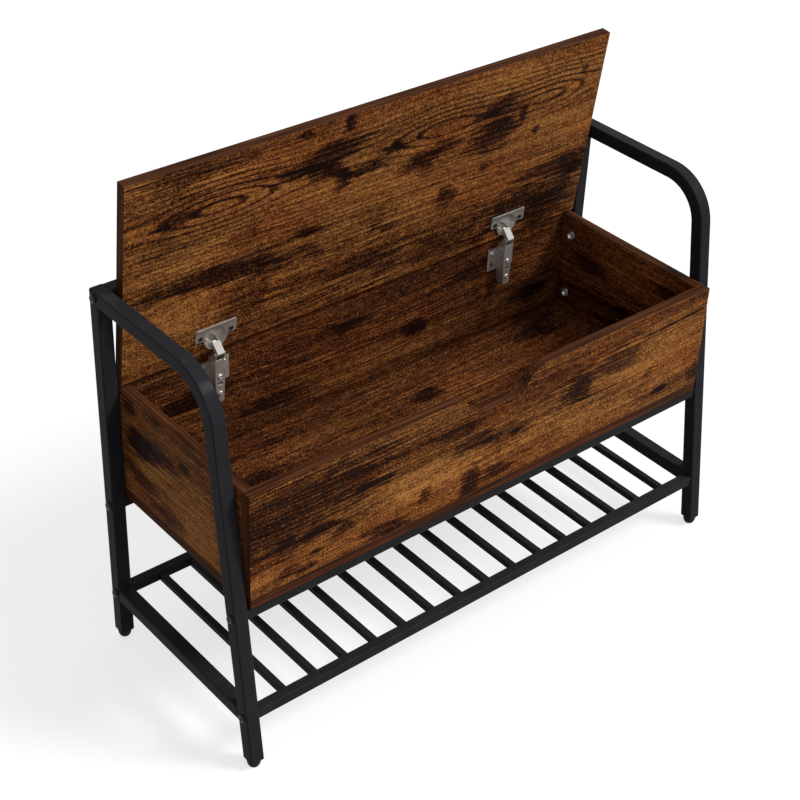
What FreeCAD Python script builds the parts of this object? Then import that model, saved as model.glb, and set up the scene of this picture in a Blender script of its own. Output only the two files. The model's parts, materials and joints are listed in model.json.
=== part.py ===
import FreeCAD, Part
import math
import os

# Shoe storage bench: a steel tube frame with arms, a slatted shoe shelf and a board box
# whose lid swings up on two cup hinges. Millimetres, +Z up, +X along the bench, front at -Y.
# The origin lies on the floor under the middle of the bench, and the lid is modelled open.

Vector = FreeCAD.Vector
os.makedirs("parts", exist_ok=True)

# Box boards
box_length = 800.0
box_depth = 298.0
panel_height = 160.0
board = 15.0
box_floor = 241.0          # height of the box's underside above the floor
notch_half_width = 84.0    # finger notch in the front panel's top edge
notch_floor_half = 20.0
notch_depth = 34.0

# Lid
lid_depth = 298.0
lid_end_inset = 1.5        # lid's ends to the box's ends
lid_rear_inset = 2.0       # closed lid's rear edge to the back panel's outer face
lid_gap = 3.0              # gap between the closed lid and the box's top edges
stop_clearance = 0.3       # open lid to the edge of the top rear rail
pivot_from_edge = 8.0      # effective swing axis, from the lid's rear edge
pivot_in_lid = 11.5        # and from the lid's inner face

# Steel tubes
tube = 20.0
tube_wall = 1.2
tube_corner = 2.0
rail = 15.0
rail_wall = 1.2
rail_corner = 1.5
slat = 10.0
slat_wall = 1.0
slat_corner = 1.0
slat_count = 15
arm_height = 564.0
shelf_center_height = 81.0
leg_lean = 7.8             # degrees that the front legs lean, feet forward
bend_radius = 65.0         # centre line of the bend between arm and front leg
side_gap = 4.0             # box ends to the legs' inner faces

# Feet
foot_height = 12.0
foot_diameter = 18.0
foot_pad_diameter = 12.0
foot_plug_length = 14.0
foot_plug_clearance = 0.1

# Frame bolts and the threaded blocks in the rail ends
bolt_diameter = 6.0
bolt_head_diameter = 12.0
bolt_head_height = 3.5
bolt_socket_width = 4.0
bolt_socket_depth = 2.2
bolt_hole_clearance = 0.4
block_length = 12.0
block_clearance = 0.1
thread_clearance = 0.1
bolt_tip_room = 2.0

# Box fasteners
cam_diameter = 15.0
cam_length = 12.0
cam_clearance = 0.2
cam_inset = 20.0           # cam centre from the end of the side panel
cam_edge_distance = 30.0   # cam centre from the panel's upper and lower edges
cam_slot_width = 1.6
cam_slot_depth = 2.0
cam_bolt_diameter = 6.0
cam_bolt_hold = 10.0       # thread length in the front and back panels
cam_bolt_room = 3.0        # bolt tip to the cam's centre
screw_diameter = 4.0
screw_head_diameter = 8.0
screw_head_height = 2.5
screw_clearance = 0.4
screw_pilot_clearance = 0.1
board_screw_hold = 30.0
board_screw_end_distance = 100.0
side_screw_spacing = 160.0
rail_screw_hold = 10.0
rail_screw_end_distance = 250.0

# Cup hinges
hinge_end_distance = 143.0 # hinge middle from the box's end
cup_diameter = 35.0
cup_depth = 11.5
cup_wall = 1.0
cup_clearance = 0.2
cup_from_edge = 21.5       # cup centre to the lid's rear edge
wing_length = 64.0
wing_past_holes = 14.5     # wing holes to the wing's lipped edge
wing_before_holes = 6.0    # wing holes to the wing's other edge
wing_thickness = 1.2
wing_lip = 1.6
wing_corner = 2.0
rim_width = 1.2
wing_hole_spacing = 48.0
wing_hole_offset = 6.0     # wing holes from the cup's centre
cup_screw_diameter = 3.5
cup_screw_head_diameter = 6.5
cup_screw_head_height = 1.6
cup_screw_hold = 10.0
cup_pin_diameter = 2.0
cup_pin_from_edge = 11.5
cup_pin_in_lid = 2.5
cup_ear_thickness = 1.2
cup_ear_half_width = 3.0
hinge_arm_reach = 24.0     # swing axis to the pin in the hinge arm's tip
link_half_width = 5.6
link_sheet = 1.2
link_back_offset = 6.2     # link's back face from the line through its pins
link_eye = 3.0
link_waist = 1.0
link_shoulder = 4.0        # where the link narrows and widens again, from its slot
link_tail = 2.5
link_back_bevel = 4.5
link_slot_travel = 3.8
link_slot_side_room = 0.8
arm_pin_diameter = 3.0
pin_clearance = 0.1
arm_side_room = 0.6        # link to the hinge arm's sides
arm_sheet = 1.2
arm_web_from_panel = 17.0
arm_tip_radius = 3.5
arm_length = 66.0
arm_top_below_box = 5.0
arm_tail_half_width = 5.5
arm_taper_start = 36.0
plate_thickness = 1.2
plate_half_width = 25.0
plate_height = 36.0
plate_top_below_box = 14.0
plate_screw_spacing = 34.0
plate_screw_below_top = 8.0
plate_slot_below_top = 26.0
plate_slot_length = 8.0
plate_screw_diameter = 3.5
plate_screw_head_diameter = 7.5
plate_screw_head_height = 2.0
plate_screw_hold = 10.0
saddle_side_room = 0.4
saddle_front_room = 0.8
adjust_screw_diameter = 4.0
adjust_screw_head_diameter = 7.0
adjust_screw_head_height = 1.8
adjust_screw_hold = 8.0
adjust_screw_drops = (31.5, 58.0)
arm_slot_drop = 43.0       # slot in the hinge arm's web, below the box's top
arm_slot_width = 8.0
arm_slot_height = 4.0
arm_panel_gap = 0.3
hole_overrun = 1.0         # how far cutters run past the faces they cut

# Places worked out from the sizes above
lean = math.radians(leg_lean)
toe = (box_floor - foot_height) * math.tan(lean)
depth = box_depth + toe
front_y = -depth / 2.0 + toe
back_y = depth / 2.0
half_length = box_length / 2.0
frame_inner_x = half_length + side_gap
frame_outer_x = frame_inner_x + tube
frame_mid_x = frame_inner_x + tube / 2.0
panel_foot = box_floor + board
box_top = panel_foot + panel_height
rear_mid_y = back_y - tube / 2.0
arm_mid_z = arm_height - tube / 2.0
box_rail_z = box_floor - rail / 2.0
sides = (("left", -1.0), ("right", 1.0))


def front_leg_y(z):
    """Centre line of the leaning front leg at a height."""
    return front_y - (box_floor - z) * math.tan(lean) + tube / 2.0 / math.cos(lean)


def save(node, solids):
    """Write one node: a single solid, or a group of separate ones."""
    if isinstance(solids, list):
        shape = Part.Compound(solids)
    else:
        shape = solids
    shape.exportStep("parts/" + node + ".step")
    print(node, len(shape.Solids), round(shape.Volume, 1))


def block(x_range, y_range, z_range):
    """Box between two corners, given as ranges."""
    size = [r[1] - r[0] for r in (x_range, y_range, z_range)]
    return Part.makeBox(size[0], size[1], size[2], Vector(x_range[0], y_range[0], z_range[0]))


def rod(start, end, diameter):
    """Round bar between two points."""
    run = end - start
    return Part.makeCylinder(diameter / 2.0, run.Length, start, run)


def prism_x(outline, x_range):
    """Solid with a polygon of (y, z) points as its section, along X."""
    points = [Vector(x_range[0], y, z) for y, z in outline]
    face = Part.Face(Part.makePolygon(points + points[:1]))
    return face.extrude(Vector(x_range[1] - x_range[0], 0, 0))


def rounded_square(size, radius):
    """Wire of a square with round corners about the origin, in the XY plane."""
    half = size / 2.0
    inner = half - radius
    corners = ((inner, inner, 0), (-inner, inner, 90), (-inner, -inner, 180), (inner, -inner, 270))
    edges = []
    for x, y, turn in corners:
        edges.append(Part.makeCircle(radius, Vector(x, y, 0), Vector(0, 0, 1), turn, turn + 90))
    for first, second in zip(edges, edges[1:] + edges[:1]):
        ends = (first.Vertexes[-1].Point, second.Vertexes[0].Point)
        edges.append(Part.LineSegment(ends[0], ends[1]).toShape())
    return Part.Wire(Part.__sortEdges__(edges))


def square_face(size, radius, center, direction):
    """Square section with round corners, set square to a direction."""
    face = Part.Face(rounded_square(size, radius))
    face.Placement = FreeCAD.Placement(center, FreeCAD.Rotation(Vector(0, 0, 1), direction))
    return face


def bar(start, end, size, radius):
    """Straight solid bar of square section between two points."""
    run = end - start
    return square_face(size, radius, start, run).extrude(run)


def hollow_bar(start, end, size, wall, radius):
    """Straight square tube between two points."""
    bore_radius = max(radius - wall, wall / 4.0)
    return bar(start, end, size, radius).cut(bar(start, end, size - 2.0 * wall, bore_radius))


# Side frames: each arm and front leg is one bent tube, mitred and welded to the rear leg.
def bent_bar(x, size, radius):
    """Arm, bend and front leg as one solid bar, from the rear face to below the leg's end."""
    corner_y = front_leg_y(arm_mid_z)
    reach = bend_radius * math.tan((math.pi / 2.0 - lean) / 2.0)
    down = Vector(0, -math.sin(lean), -math.cos(lean))
    rear = Vector(x, back_y, arm_mid_z)
    bend_start = Vector(x, corner_y + reach, arm_mid_z)
    bend_end = Vector(x, corner_y, arm_mid_z) + down * reach
    bend_axis = Vector(x, corner_y + reach, arm_mid_z - bend_radius)
    leg_end = bend_end + down * (bend_end.z / math.cos(lean))
    arm = bar(rear, bend_start, size, radius)
    section = square_face(size, radius, bend_start, Vector(0, -1, 0))
    bend = section.revolve(bend_axis, Vector(1, 0, 0), 90.0 - leg_lean)
    leg = bar(bend_end, leg_end, size, radius)
    return arm.fuse([bend, leg]).removeSplitter()


bolt_places = (
    ("top_rear", rear_mid_y, arm_mid_z, tube, tube_wall),
    ("box_rear", rear_mid_y, box_rail_z, rail, rail_wall),
    ("box_front", front_leg_y(box_rail_z), box_rail_z, rail, rail_wall),
    ("shelf_rear", rear_mid_y, shelf_center_height, rail, rail_wall),
    ("shelf_front", front_leg_y(shelf_center_height), shelf_center_height, rail, rail_wall),
)


def bolt_holes(side):
    """Cutters for the bolt holes through one side frame."""
    cutters = []
    for _, y, z, _, _ in bolt_places:
        start = Vector(side * (frame_inner_x - hole_overrun), y, z)
        end = Vector(side * (frame_outer_x + hole_overrun), y, z)
        cutters.append(rod(start, end, bolt_diameter + bolt_hole_clearance))
    return cutters


tube_bore = tube - 2.0 * tube_wall
tube_bore_corner = max(tube_corner - tube_wall, tube_wall / 4.0)
below_legs = block((-frame_outer_x * 2.0, frame_outer_x * 2.0), (-depth, depth), (-tube, foot_height))
for name, side in sides:
    x = side * frame_mid_x
    x_range = (x - tube, x + tube)
    under_mitre = [(back_y, arm_height), (back_y - tube, arm_height - tube), (back_y, arm_height - tube)]
    over_mitre = [(back_y, arm_height), (back_y - tube, arm_height - tube), (back_y - tube, arm_height)]

    arm_leg = bent_bar(x, tube, tube_corner).cut(bent_bar(x, tube_bore, tube_bore_corner))
    arm_leg = arm_leg.cut([below_legs, prism_x(under_mitre, x_range)] + bolt_holes(side))
    save("arm_leg_" + name, arm_leg)

    leg_foot = Vector(x, rear_mid_y, foot_height)
    leg_top = Vector(x, rear_mid_y, arm_height)
    rear_leg = hollow_bar(leg_foot, leg_top, tube, tube_wall, tube_corner)
    rear_leg = rear_leg.cut([prism_x(over_mitre, x_range)] + bolt_holes(side))
    save("rear_leg_" + name, rear_leg)

    rail_front = Vector(x, front_leg_y(shelf_center_height), shelf_center_height)
    rail_back = Vector(x, back_y - tube, shelf_center_height)
    lower_rail = hollow_bar(rail_front, rail_back, tube, tube_wall, tube_corner)
    lower_rail = lower_rail.cut(bent_bar(x, tube, tube_corner))
    lower_rail = max(lower_rail.Solids, key=lambda piece: piece.Volume)
    save("lower_side_rail_" + name, lower_rail)

# Cross rails between the side frames, with a threaded block in each end
rail_names = {
    "top_rear": "top_rear_rail",
    "box_rear": "box_rail_rear",
    "box_front": "box_rail_front",
    "shelf_rear": "shelf_rail_rear",
    "shelf_front": "shelf_rail_front",
}
rail_screw_xs = (-half_length + rail_screw_end_distance, half_length - rail_screw_end_distance)
bolts = []
end_blocks = []
rail_screws = []


def headed_bolt(y, z, side):
    """Button-head bolt from a frame's outer face into the block in a rail's end."""
    seat = Vector(side * frame_outer_x, y, z)
    tip = Vector(side * (frame_inner_x - block_length + bolt_tip_room), y, z)
    crown = Vector(side * (frame_outer_x + bolt_head_height), y, z)
    head = rod(seat, crown, bolt_head_diameter)
    rim = [edge for edge in head.Edges if edge.Closed and abs(edge.BoundBox.Center.x - crown.x) < 0.01]
    head = head.makeFillet(bolt_head_height * 0.6, rim)
    socket_points = []
    for step in range(7):
        angle = math.radians(60.0 * step)
        reach = bolt_socket_width / math.sqrt(3.0)
        socket_points.append((y + reach * math.cos(angle), z + reach * math.sin(angle)))
    socket_bed = side * (frame_outer_x + bolt_head_height - bolt_socket_depth)
    socket_mouth = side * (frame_outer_x + bolt_head_height + hole_overrun)
    socket = prism_x(socket_points[:-1], (socket_bed, socket_mouth))
    return head.fuse(rod(seat, tip, bolt_diameter)).cut(socket).removeSplitter()


for key, y, z, size, wall in bolt_places:
    corner = tube_corner if size == tube else rail_corner
    cross_rail = hollow_bar(Vector(-frame_inner_x, y, z), Vector(frame_inner_x, y, z), size, wall, corner)
    if key.startswith("box"):
        for x in rail_screw_xs:
            below = Vector(x, y, z - size)
            above = Vector(x, y, z + size)
            cross_rail = cross_rail.cut(rod(below, above, screw_diameter + screw_clearance))
            seat = Vector(x, y, box_floor - size)
            head = rod(seat - Vector(0, 0, screw_head_height), seat, screw_head_diameter)
            shank = rod(seat, Vector(x, y, box_floor + rail_screw_hold), screw_diameter)
            rail_screws.append(head.fuse(shank).removeSplitter())
    save(rail_names[key], cross_rail)
    for name, side in sides:
        block_size = size - 2.0 * wall - 2.0 * block_clearance
        block_corner = max(corner - wall, wall / 4.0)
        outer_end = Vector(side * frame_inner_x, y, z)
        inner_end = Vector(side * (frame_inner_x - block_length), y, z)
        end_block = bar(outer_end, inner_end, block_size, block_corner)
        end_block = end_block.cut(rod(outer_end, inner_end, bolt_diameter + thread_clearance))
        end_blocks.append(end_block)
        bolts.append(headed_bolt(y, z, side))
save("frame_bolts", bolts)
save("rail_end_blocks", end_blocks)
save("box_rail_screws", rail_screws)

# Shelf slats welded between the two lower rails
slat_start_y = front_leg_y(shelf_center_height) + rail / 2.0
slat_end_y = rear_mid_y - rail / 2.0
slat_pitch = 2.0 * frame_inner_x / (slat_count + 1)
for number in range(1, slat_count + 1):
    x = -frame_inner_x + slat_pitch * number
    start = Vector(x, slat_start_y, shelf_center_height)
    end = Vector(x, slat_end_y, shelf_center_height)
    save("shelf_slat_%02d" % number, hollow_bar(start, end, slat, slat_wall, slat_corner))


# Plastic feet: a plug in the tube's bore and a domed glide under it
def foot(x, y_at_leg_end, tilt):
    """Glide on the floor with its plug along the leg's own direction."""
    center = Vector(x, y_at_leg_end, 0)
    dome_height = foot_height / 2.0
    cone = Part.makeCone(foot_pad_diameter / 2.0, foot_diameter / 2.0, dome_height, center)
    drum = rod(center + Vector(0, 0, dome_height), center + Vector(0, 0, foot_height), foot_diameter)
    up = Vector(0, math.sin(tilt), math.cos(tilt))
    leg_end = center + Vector(0, 0, foot_height)
    plug = bar(leg_end - up * tube, leg_end + up * foot_plug_length, tube_bore - 2.0 * foot_plug_clearance,
               tube_bore_corner)
    plug = plug.cut(block((x - tube, x + tube), (y_at_leg_end - tube * 2.0, y_at_leg_end + tube * 2.0),
                          (-tube * 2.0, foot_height)))
    return cone.fuse([drum, plug]).removeSplitter()


for name, side in sides:
    save("foot_front_" + name, foot(side * frame_mid_x, front_leg_y(foot_height), lean))
    save("foot_rear_" + name, foot(side * frame_mid_x, rear_mid_y, 0.0))

# Box boards, with the finger notch in the front panel and the fastener holes
front_panel = block((-half_length, half_length), (front_y, front_y + board), (panel_foot, box_top))
back_panel = block((-half_length, half_length), (back_y - board, back_y), (panel_foot, box_top))
bottom_panel = block((-half_length, half_length), (front_y, back_y), (box_floor, panel_foot))
side_panels = {}
for name, side in sides:
    x_range = sorted((side * half_length, side * (half_length - board)))
    side_panels[name] = block(x_range, (front_y + board, back_y - board), (panel_foot, box_top))


def notch_cutter():
    """Finger notch: a flat bed with an S-curve of two equal arcs up to each end."""
    bed_z = box_top - notch_depth
    run = (notch_half_width - notch_floor_half) / 2.0
    rise = notch_depth / 2.0
    radius = (run * run + rise * rise) / (2.0 * rise)
    half_angle = math.asin(run / radius) / 2.0
    y = front_y - hole_overrun

    def point(x, z):
        return Vector(x, y, z)

    def s_curve(direction):
        low_end = point(direction * notch_floor_half, bed_z)
        middle = point(direction * (notch_floor_half + run), bed_z + rise)
        high_end = point(direction * notch_half_width, box_top)
        along = radius * math.sin(half_angle)
        lift = radius * (1.0 - math.cos(half_angle))
        low_mid = point(direction * (notch_floor_half + along), bed_z + lift)
        high_mid = point(direction * (notch_half_width - along), box_top - lift)
        return [Part.Arc(low_end, low_mid, middle).toShape(), Part.Arc(middle, high_mid, high_end).toShape()]

    lid_line = [point(notch_half_width, box_top), point(notch_half_width, box_top + hole_overrun),
                point(-notch_half_width, box_top + hole_overrun), point(-notch_half_width, box_top)]
    edges = s_curve(1.0) + s_curve(-1.0)
    for first, second in zip(lid_line, lid_line[1:]):
        edges.append(Part.LineSegment(first, second).toShape())
    bed = (point(-notch_floor_half, bed_z), point(notch_floor_half, bed_z))
    edges.append(Part.LineSegment(bed[0], bed[1]).toShape())
    face = Part.Face(Part.Wire(Part.__sortEdges__(edges)))
    return face.extrude(Vector(0, board + 2.0 * hole_overrun, 0))


front_panel = front_panel.cut(notch_cutter())

# Cam locks in the side panels pull on bolts screwed into the front and back panels
cams = []
cam_bolts = []
ends = ((front_y + board, 1.0), (back_y - board, -1.0))
cam_heights = (panel_foot + cam_edge_distance, box_top - cam_edge_distance)
for name, side in sides:
    inner_x = side * (half_length - board)
    for joint_y, inward in ends:
        for z in cam_heights:
            cam_y = joint_y + inward * cam_inset
            face_point = Vector(inner_x, cam_y, z)
            bed_point = face_point + Vector(side * cam_length, 0, 0)
            bolt_x = inner_x + side * board / 2.0
            tip = Vector(bolt_x, cam_y - inward * cam_bolt_room, z)
            root = Vector(bolt_x, joint_y - inward * cam_bolt_hold, z)
            bolt_hole = rod(root, Vector(bolt_x, cam_y, z), cam_bolt_diameter + cam_clearance)
            cam = rod(face_point, bed_point, cam_diameter).cut(bolt_hole)
            for tall, wide in ((cam_slot_width, cam_diameter * 0.6), (cam_diameter * 0.6, cam_slot_width)):
                slot = block(sorted((inner_x - side * hole_overrun, inner_x + side * cam_slot_depth)),
                             (cam_y - wide / 2.0, cam_y + wide / 2.0), (z - tall / 2.0, z + tall / 2.0))
                cam = cam.cut(slot)
            cams.append(cam)
            cam_bolts.append(rod(root, tip, cam_bolt_diameter))
            pocket = rod(face_point, bed_point, cam_diameter + cam_clearance)
            side_panels[name] = side_panels[name].cut([pocket, bolt_hole])
            if inward > 0:
                front_panel = front_panel.cut(bolt_hole)
            else:
                back_panel = back_panel.cut(bolt_hole)
save("cam_locks", cams)
save("cam_bolts", cam_bolts)


# Screws from below hold the bottom board to the four panels standing on it
def board_screw(x, y):
    """Flat-head screw flush in the bottom board's underside, up into a panel."""
    foot_point = Vector(x, y, box_floor)
    shoulder = foot_point + Vector(0, 0, screw_head_height)
    tip = foot_point + Vector(0, 0, board + board_screw_hold)
    head = rod(foot_point, shoulder, screw_head_diameter)
    return head.fuse(rod(shoulder, tip, screw_diameter)).removeSplitter()


def board_screw_holes(x, y):
    """Head recess and clearance hole for the bottom board, and the pilot hole for the panel."""
    foot_point = Vector(x, y, box_floor)
    recess = rod(foot_point, foot_point + Vector(0, 0, screw_head_height),
                 screw_head_diameter + screw_clearance)
    through = rod(foot_point, foot_point + Vector(0, 0, board), screw_diameter + screw_clearance)
    pilot_tip = foot_point + Vector(0, 0, board + board_screw_hold)
    pilot = rod(foot_point, pilot_tip, screw_diameter + screw_pilot_clearance)
    return recess.fuse(through), pilot


board_screws = []
long_screw_xs = (-half_length + board_screw_end_distance, 0.0, half_length - board_screw_end_distance)
box_mid_y = (front_y + back_y) / 2.0
for x in long_screw_xs:
    hole, pilot = board_screw_holes(x, front_y + board / 2.0)
    bottom_panel = bottom_panel.cut(hole)
    front_panel = front_panel.cut(pilot)
    board_screws.append(board_screw(x, front_y + board / 2.0))
    hole, pilot = board_screw_holes(x, back_y - board / 2.0)
    bottom_panel = bottom_panel.cut(hole)
    back_panel = back_panel.cut(pilot)
    board_screws.append(board_screw(x, back_y - board / 2.0))
for name, side in sides:
    x = side * (half_length - board / 2.0)
    for y in (box_mid_y - side_screw_spacing / 2.0, box_mid_y + side_screw_spacing / 2.0):
        hole, pilot = board_screw_holes(x, y)
        bottom_panel = bottom_panel.cut(hole)
        side_panels[name] = side_panels[name].cut(pilot)
        board_screws.append(board_screw(x, y))
for x in rail_screw_xs:
    for y in (front_leg_y(box_rail_z), rear_mid_y):
        start = Vector(x, y, box_floor)
        pilot = rod(start, start + Vector(0, 0, rail_screw_hold), screw_diameter + screw_pilot_clearance)
        bottom_panel = bottom_panel.cut(pilot)
save("bottom_board_screws", board_screws)

# The lid swings about an effective axis inside its rear edge. It is shaped closed, then turned
# up until its back face meets the front of the top rear rail.
lid_under = box_top + lid_gap
lid_rear_y = back_y - lid_rear_inset
lid_half = half_length - lid_end_inset
pivot_y = lid_rear_y - pivot_from_edge
pivot_z = lid_under + pivot_in_lid
face_reach = board - pivot_in_lid + stop_clearance
stop_y = back_y - tube - pivot_y
stop_angles = []
for stop_z in (arm_height - tube + tube_corner - pivot_z, arm_height - tube_corner - pivot_z):
    stop_angles.append(math.atan2(stop_y, stop_z) + math.acos(face_reach / math.hypot(stop_y, stop_z)))
open_angle = min(stop_angles)
print("lid axis y, z and opening angle", pivot_y, pivot_z, math.degrees(open_angle))


def opened(shape):
    """Turn a piece of the closed lid to the open position."""
    turned = shape.copy()
    turned.rotate(Vector(0, pivot_y, pivot_z), Vector(1, 0, 0), -math.degrees(open_angle))
    return turned


def open_point(y, z):
    """Where a point of the closed lid lies when the lid is open."""
    cos_open = math.cos(open_angle)
    sin_open = math.sin(open_angle)
    run = y - pivot_y
    rise = z - pivot_z
    return pivot_y + run * cos_open + rise * sin_open, pivot_z - run * sin_open + rise * cos_open


# Hinge geometry shared by its pieces: cup pin in the lid, arm pin on the bisector of its two places
cup_y = lid_rear_y - cup_from_edge
wing_y = cup_y - wing_hole_offset
cup_pin_y = lid_rear_y - cup_pin_from_edge
cup_pin_z = lid_under + cup_pin_in_lid
open_pin_y, open_pin_z = open_point(cup_pin_y, cup_pin_z)
bisector = math.atan2(cup_pin_z - pivot_z, cup_pin_y - pivot_y) - open_angle / 2.0
arm_pin_y = pivot_y + hinge_arm_reach * math.cos(bisector)
arm_pin_z = pivot_z + hinge_arm_reach * math.sin(bisector)
link_length = math.hypot(open_pin_y - arm_pin_y, open_pin_z - arm_pin_z)
link_angle_open = math.atan2(open_pin_z - arm_pin_z, open_pin_y - arm_pin_y)
link_angle_closed = math.atan2(cup_pin_z - arm_pin_z, cup_pin_y - arm_pin_y)
link_turn = math.degrees(link_angle_closed - link_angle_open)
print("hinge link axis y, z and its turn to closed", arm_pin_y, arm_pin_z, link_turn)
arm_inner_half = link_half_width + arm_side_room
arm_outer_half = arm_inner_half + arm_sheet
panel_face_y = back_y - board
hinge_x = half_length - hinge_end_distance
hinges = (("left", -hinge_x), ("right", hinge_x))
wing_hole_xs = (-wing_hole_spacing / 2.0, wing_hole_spacing / 2.0)
cup_screw_pilot = cup_screw_diameter + screw_pilot_clearance

lid_panel = block((-lid_half, lid_half), (lid_rear_y - lid_depth, lid_rear_y), (lid_under, lid_under + board))
cup_screws = []
cup_pins = []
for name, x in hinges:
    # Cup pressed into the lid, with its screw wings and the ears that hold the link's pin
    mouth = Vector(x, cup_y, lid_under)
    bed = mouth + Vector(0, 0, cup_depth)
    pocket_bed = bed + Vector(0, 0, cup_clearance)
    lid_panel = lid_panel.cut(rod(mouth, pocket_bed, cup_diameter + 2.0 * cup_clearance))
    wing_face = Vector(x, cup_y, lid_under - wing_thickness)
    lip_y = wing_y - wing_past_holes
    wing = block((x - wing_length / 2.0, x + wing_length / 2.0), (lip_y, wing_y + wing_before_holes),
                 (lid_under - wing_thickness, lid_under))
    wing_posts = [edge for edge in wing.Edges if edge.BoundBox.ZLength > wing_thickness / 2.0]
    wing = wing.makeFillet(wing_corner, wing_posts)
    lip = block((x - wing_length / 2.0 + wing_corner, x + wing_length / 2.0 - wing_corner),
                (lip_y, lip_y + wing_thickness),
                (lid_under - wing_thickness - wing_lip, lid_under))
    rim = rod(wing_face, mouth, cup_diameter + 2.0 * rim_width)
    cup = rod(mouth, bed, cup_diameter).fuse([wing, lip, rim])
    bore_bed = bed - Vector(0, 0, cup_wall)
    cup_bore = rod(wing_face - Vector(0, 0, hole_overrun), bore_bed, cup_diameter - 2.0 * cup_wall)
    cup = cup.cut(cup_bore)
    for direction in (-1.0, 1.0):
        ear_inner = x + direction * arm_inner_half
        ear_outer = x + direction * (arm_inner_half + cup_ear_thickness)
        ear = block(sorted((ear_inner, ear_outer)),
                    (cup_pin_y - cup_ear_half_width, cup_pin_y + cup_ear_half_width),
                    (lid_under + cup_wall / 2.0, bed.z - cup_wall / 2.0))
        cup = cup.fuse(ear.common(rod(mouth, bed, cup_diameter)))
    pin_reach = arm_inner_half + cup_ear_thickness
    pin_start = Vector(x - pin_reach, cup_pin_y, cup_pin_z)
    pin_end = Vector(x + pin_reach, cup_pin_y, cup_pin_z)
    cup = cup.cut(rod(pin_start, pin_end, cup_pin_diameter + pin_clearance))
    cup_pins.append(opened(rod(pin_start, pin_end, cup_pin_diameter)))
    for offset in wing_hole_xs:
        seat = Vector(x + offset, wing_y, lid_under - wing_thickness)
        tip = Vector(x + offset, wing_y, lid_under + cup_screw_hold)
        lid_panel = lid_panel.cut(rod(seat, tip, cup_screw_pilot))
        cup = cup.cut(rod(seat, tip, cup_screw_diameter + screw_clearance))
        crown = seat - Vector(0, 0, cup_screw_head_height)
        screw = rod(crown, seat, cup_screw_head_diameter).fuse(rod(seat, tip, cup_screw_diameter))
        cup_screws.append(opened(screw.removeSplitter()))
    save("hinge_cup_" + name, opened(cup.removeSplitter()))
save("lid_panel", opened(lid_panel))
save("hinge_cup_screws", cup_screws)
save("hinge_cup_pins", cup_pins)


def link_outline(points):
    """Turn (along, across) distances from the arm pin into (y, z) with the link at its open angle."""
    cos_link = math.cos(link_angle_open)
    sin_link = math.sin(link_angle_open)
    return [(arm_pin_y + along * cos_link - across * sin_link,
             arm_pin_z + along * sin_link + across * cos_link) for along, across in points]


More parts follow.
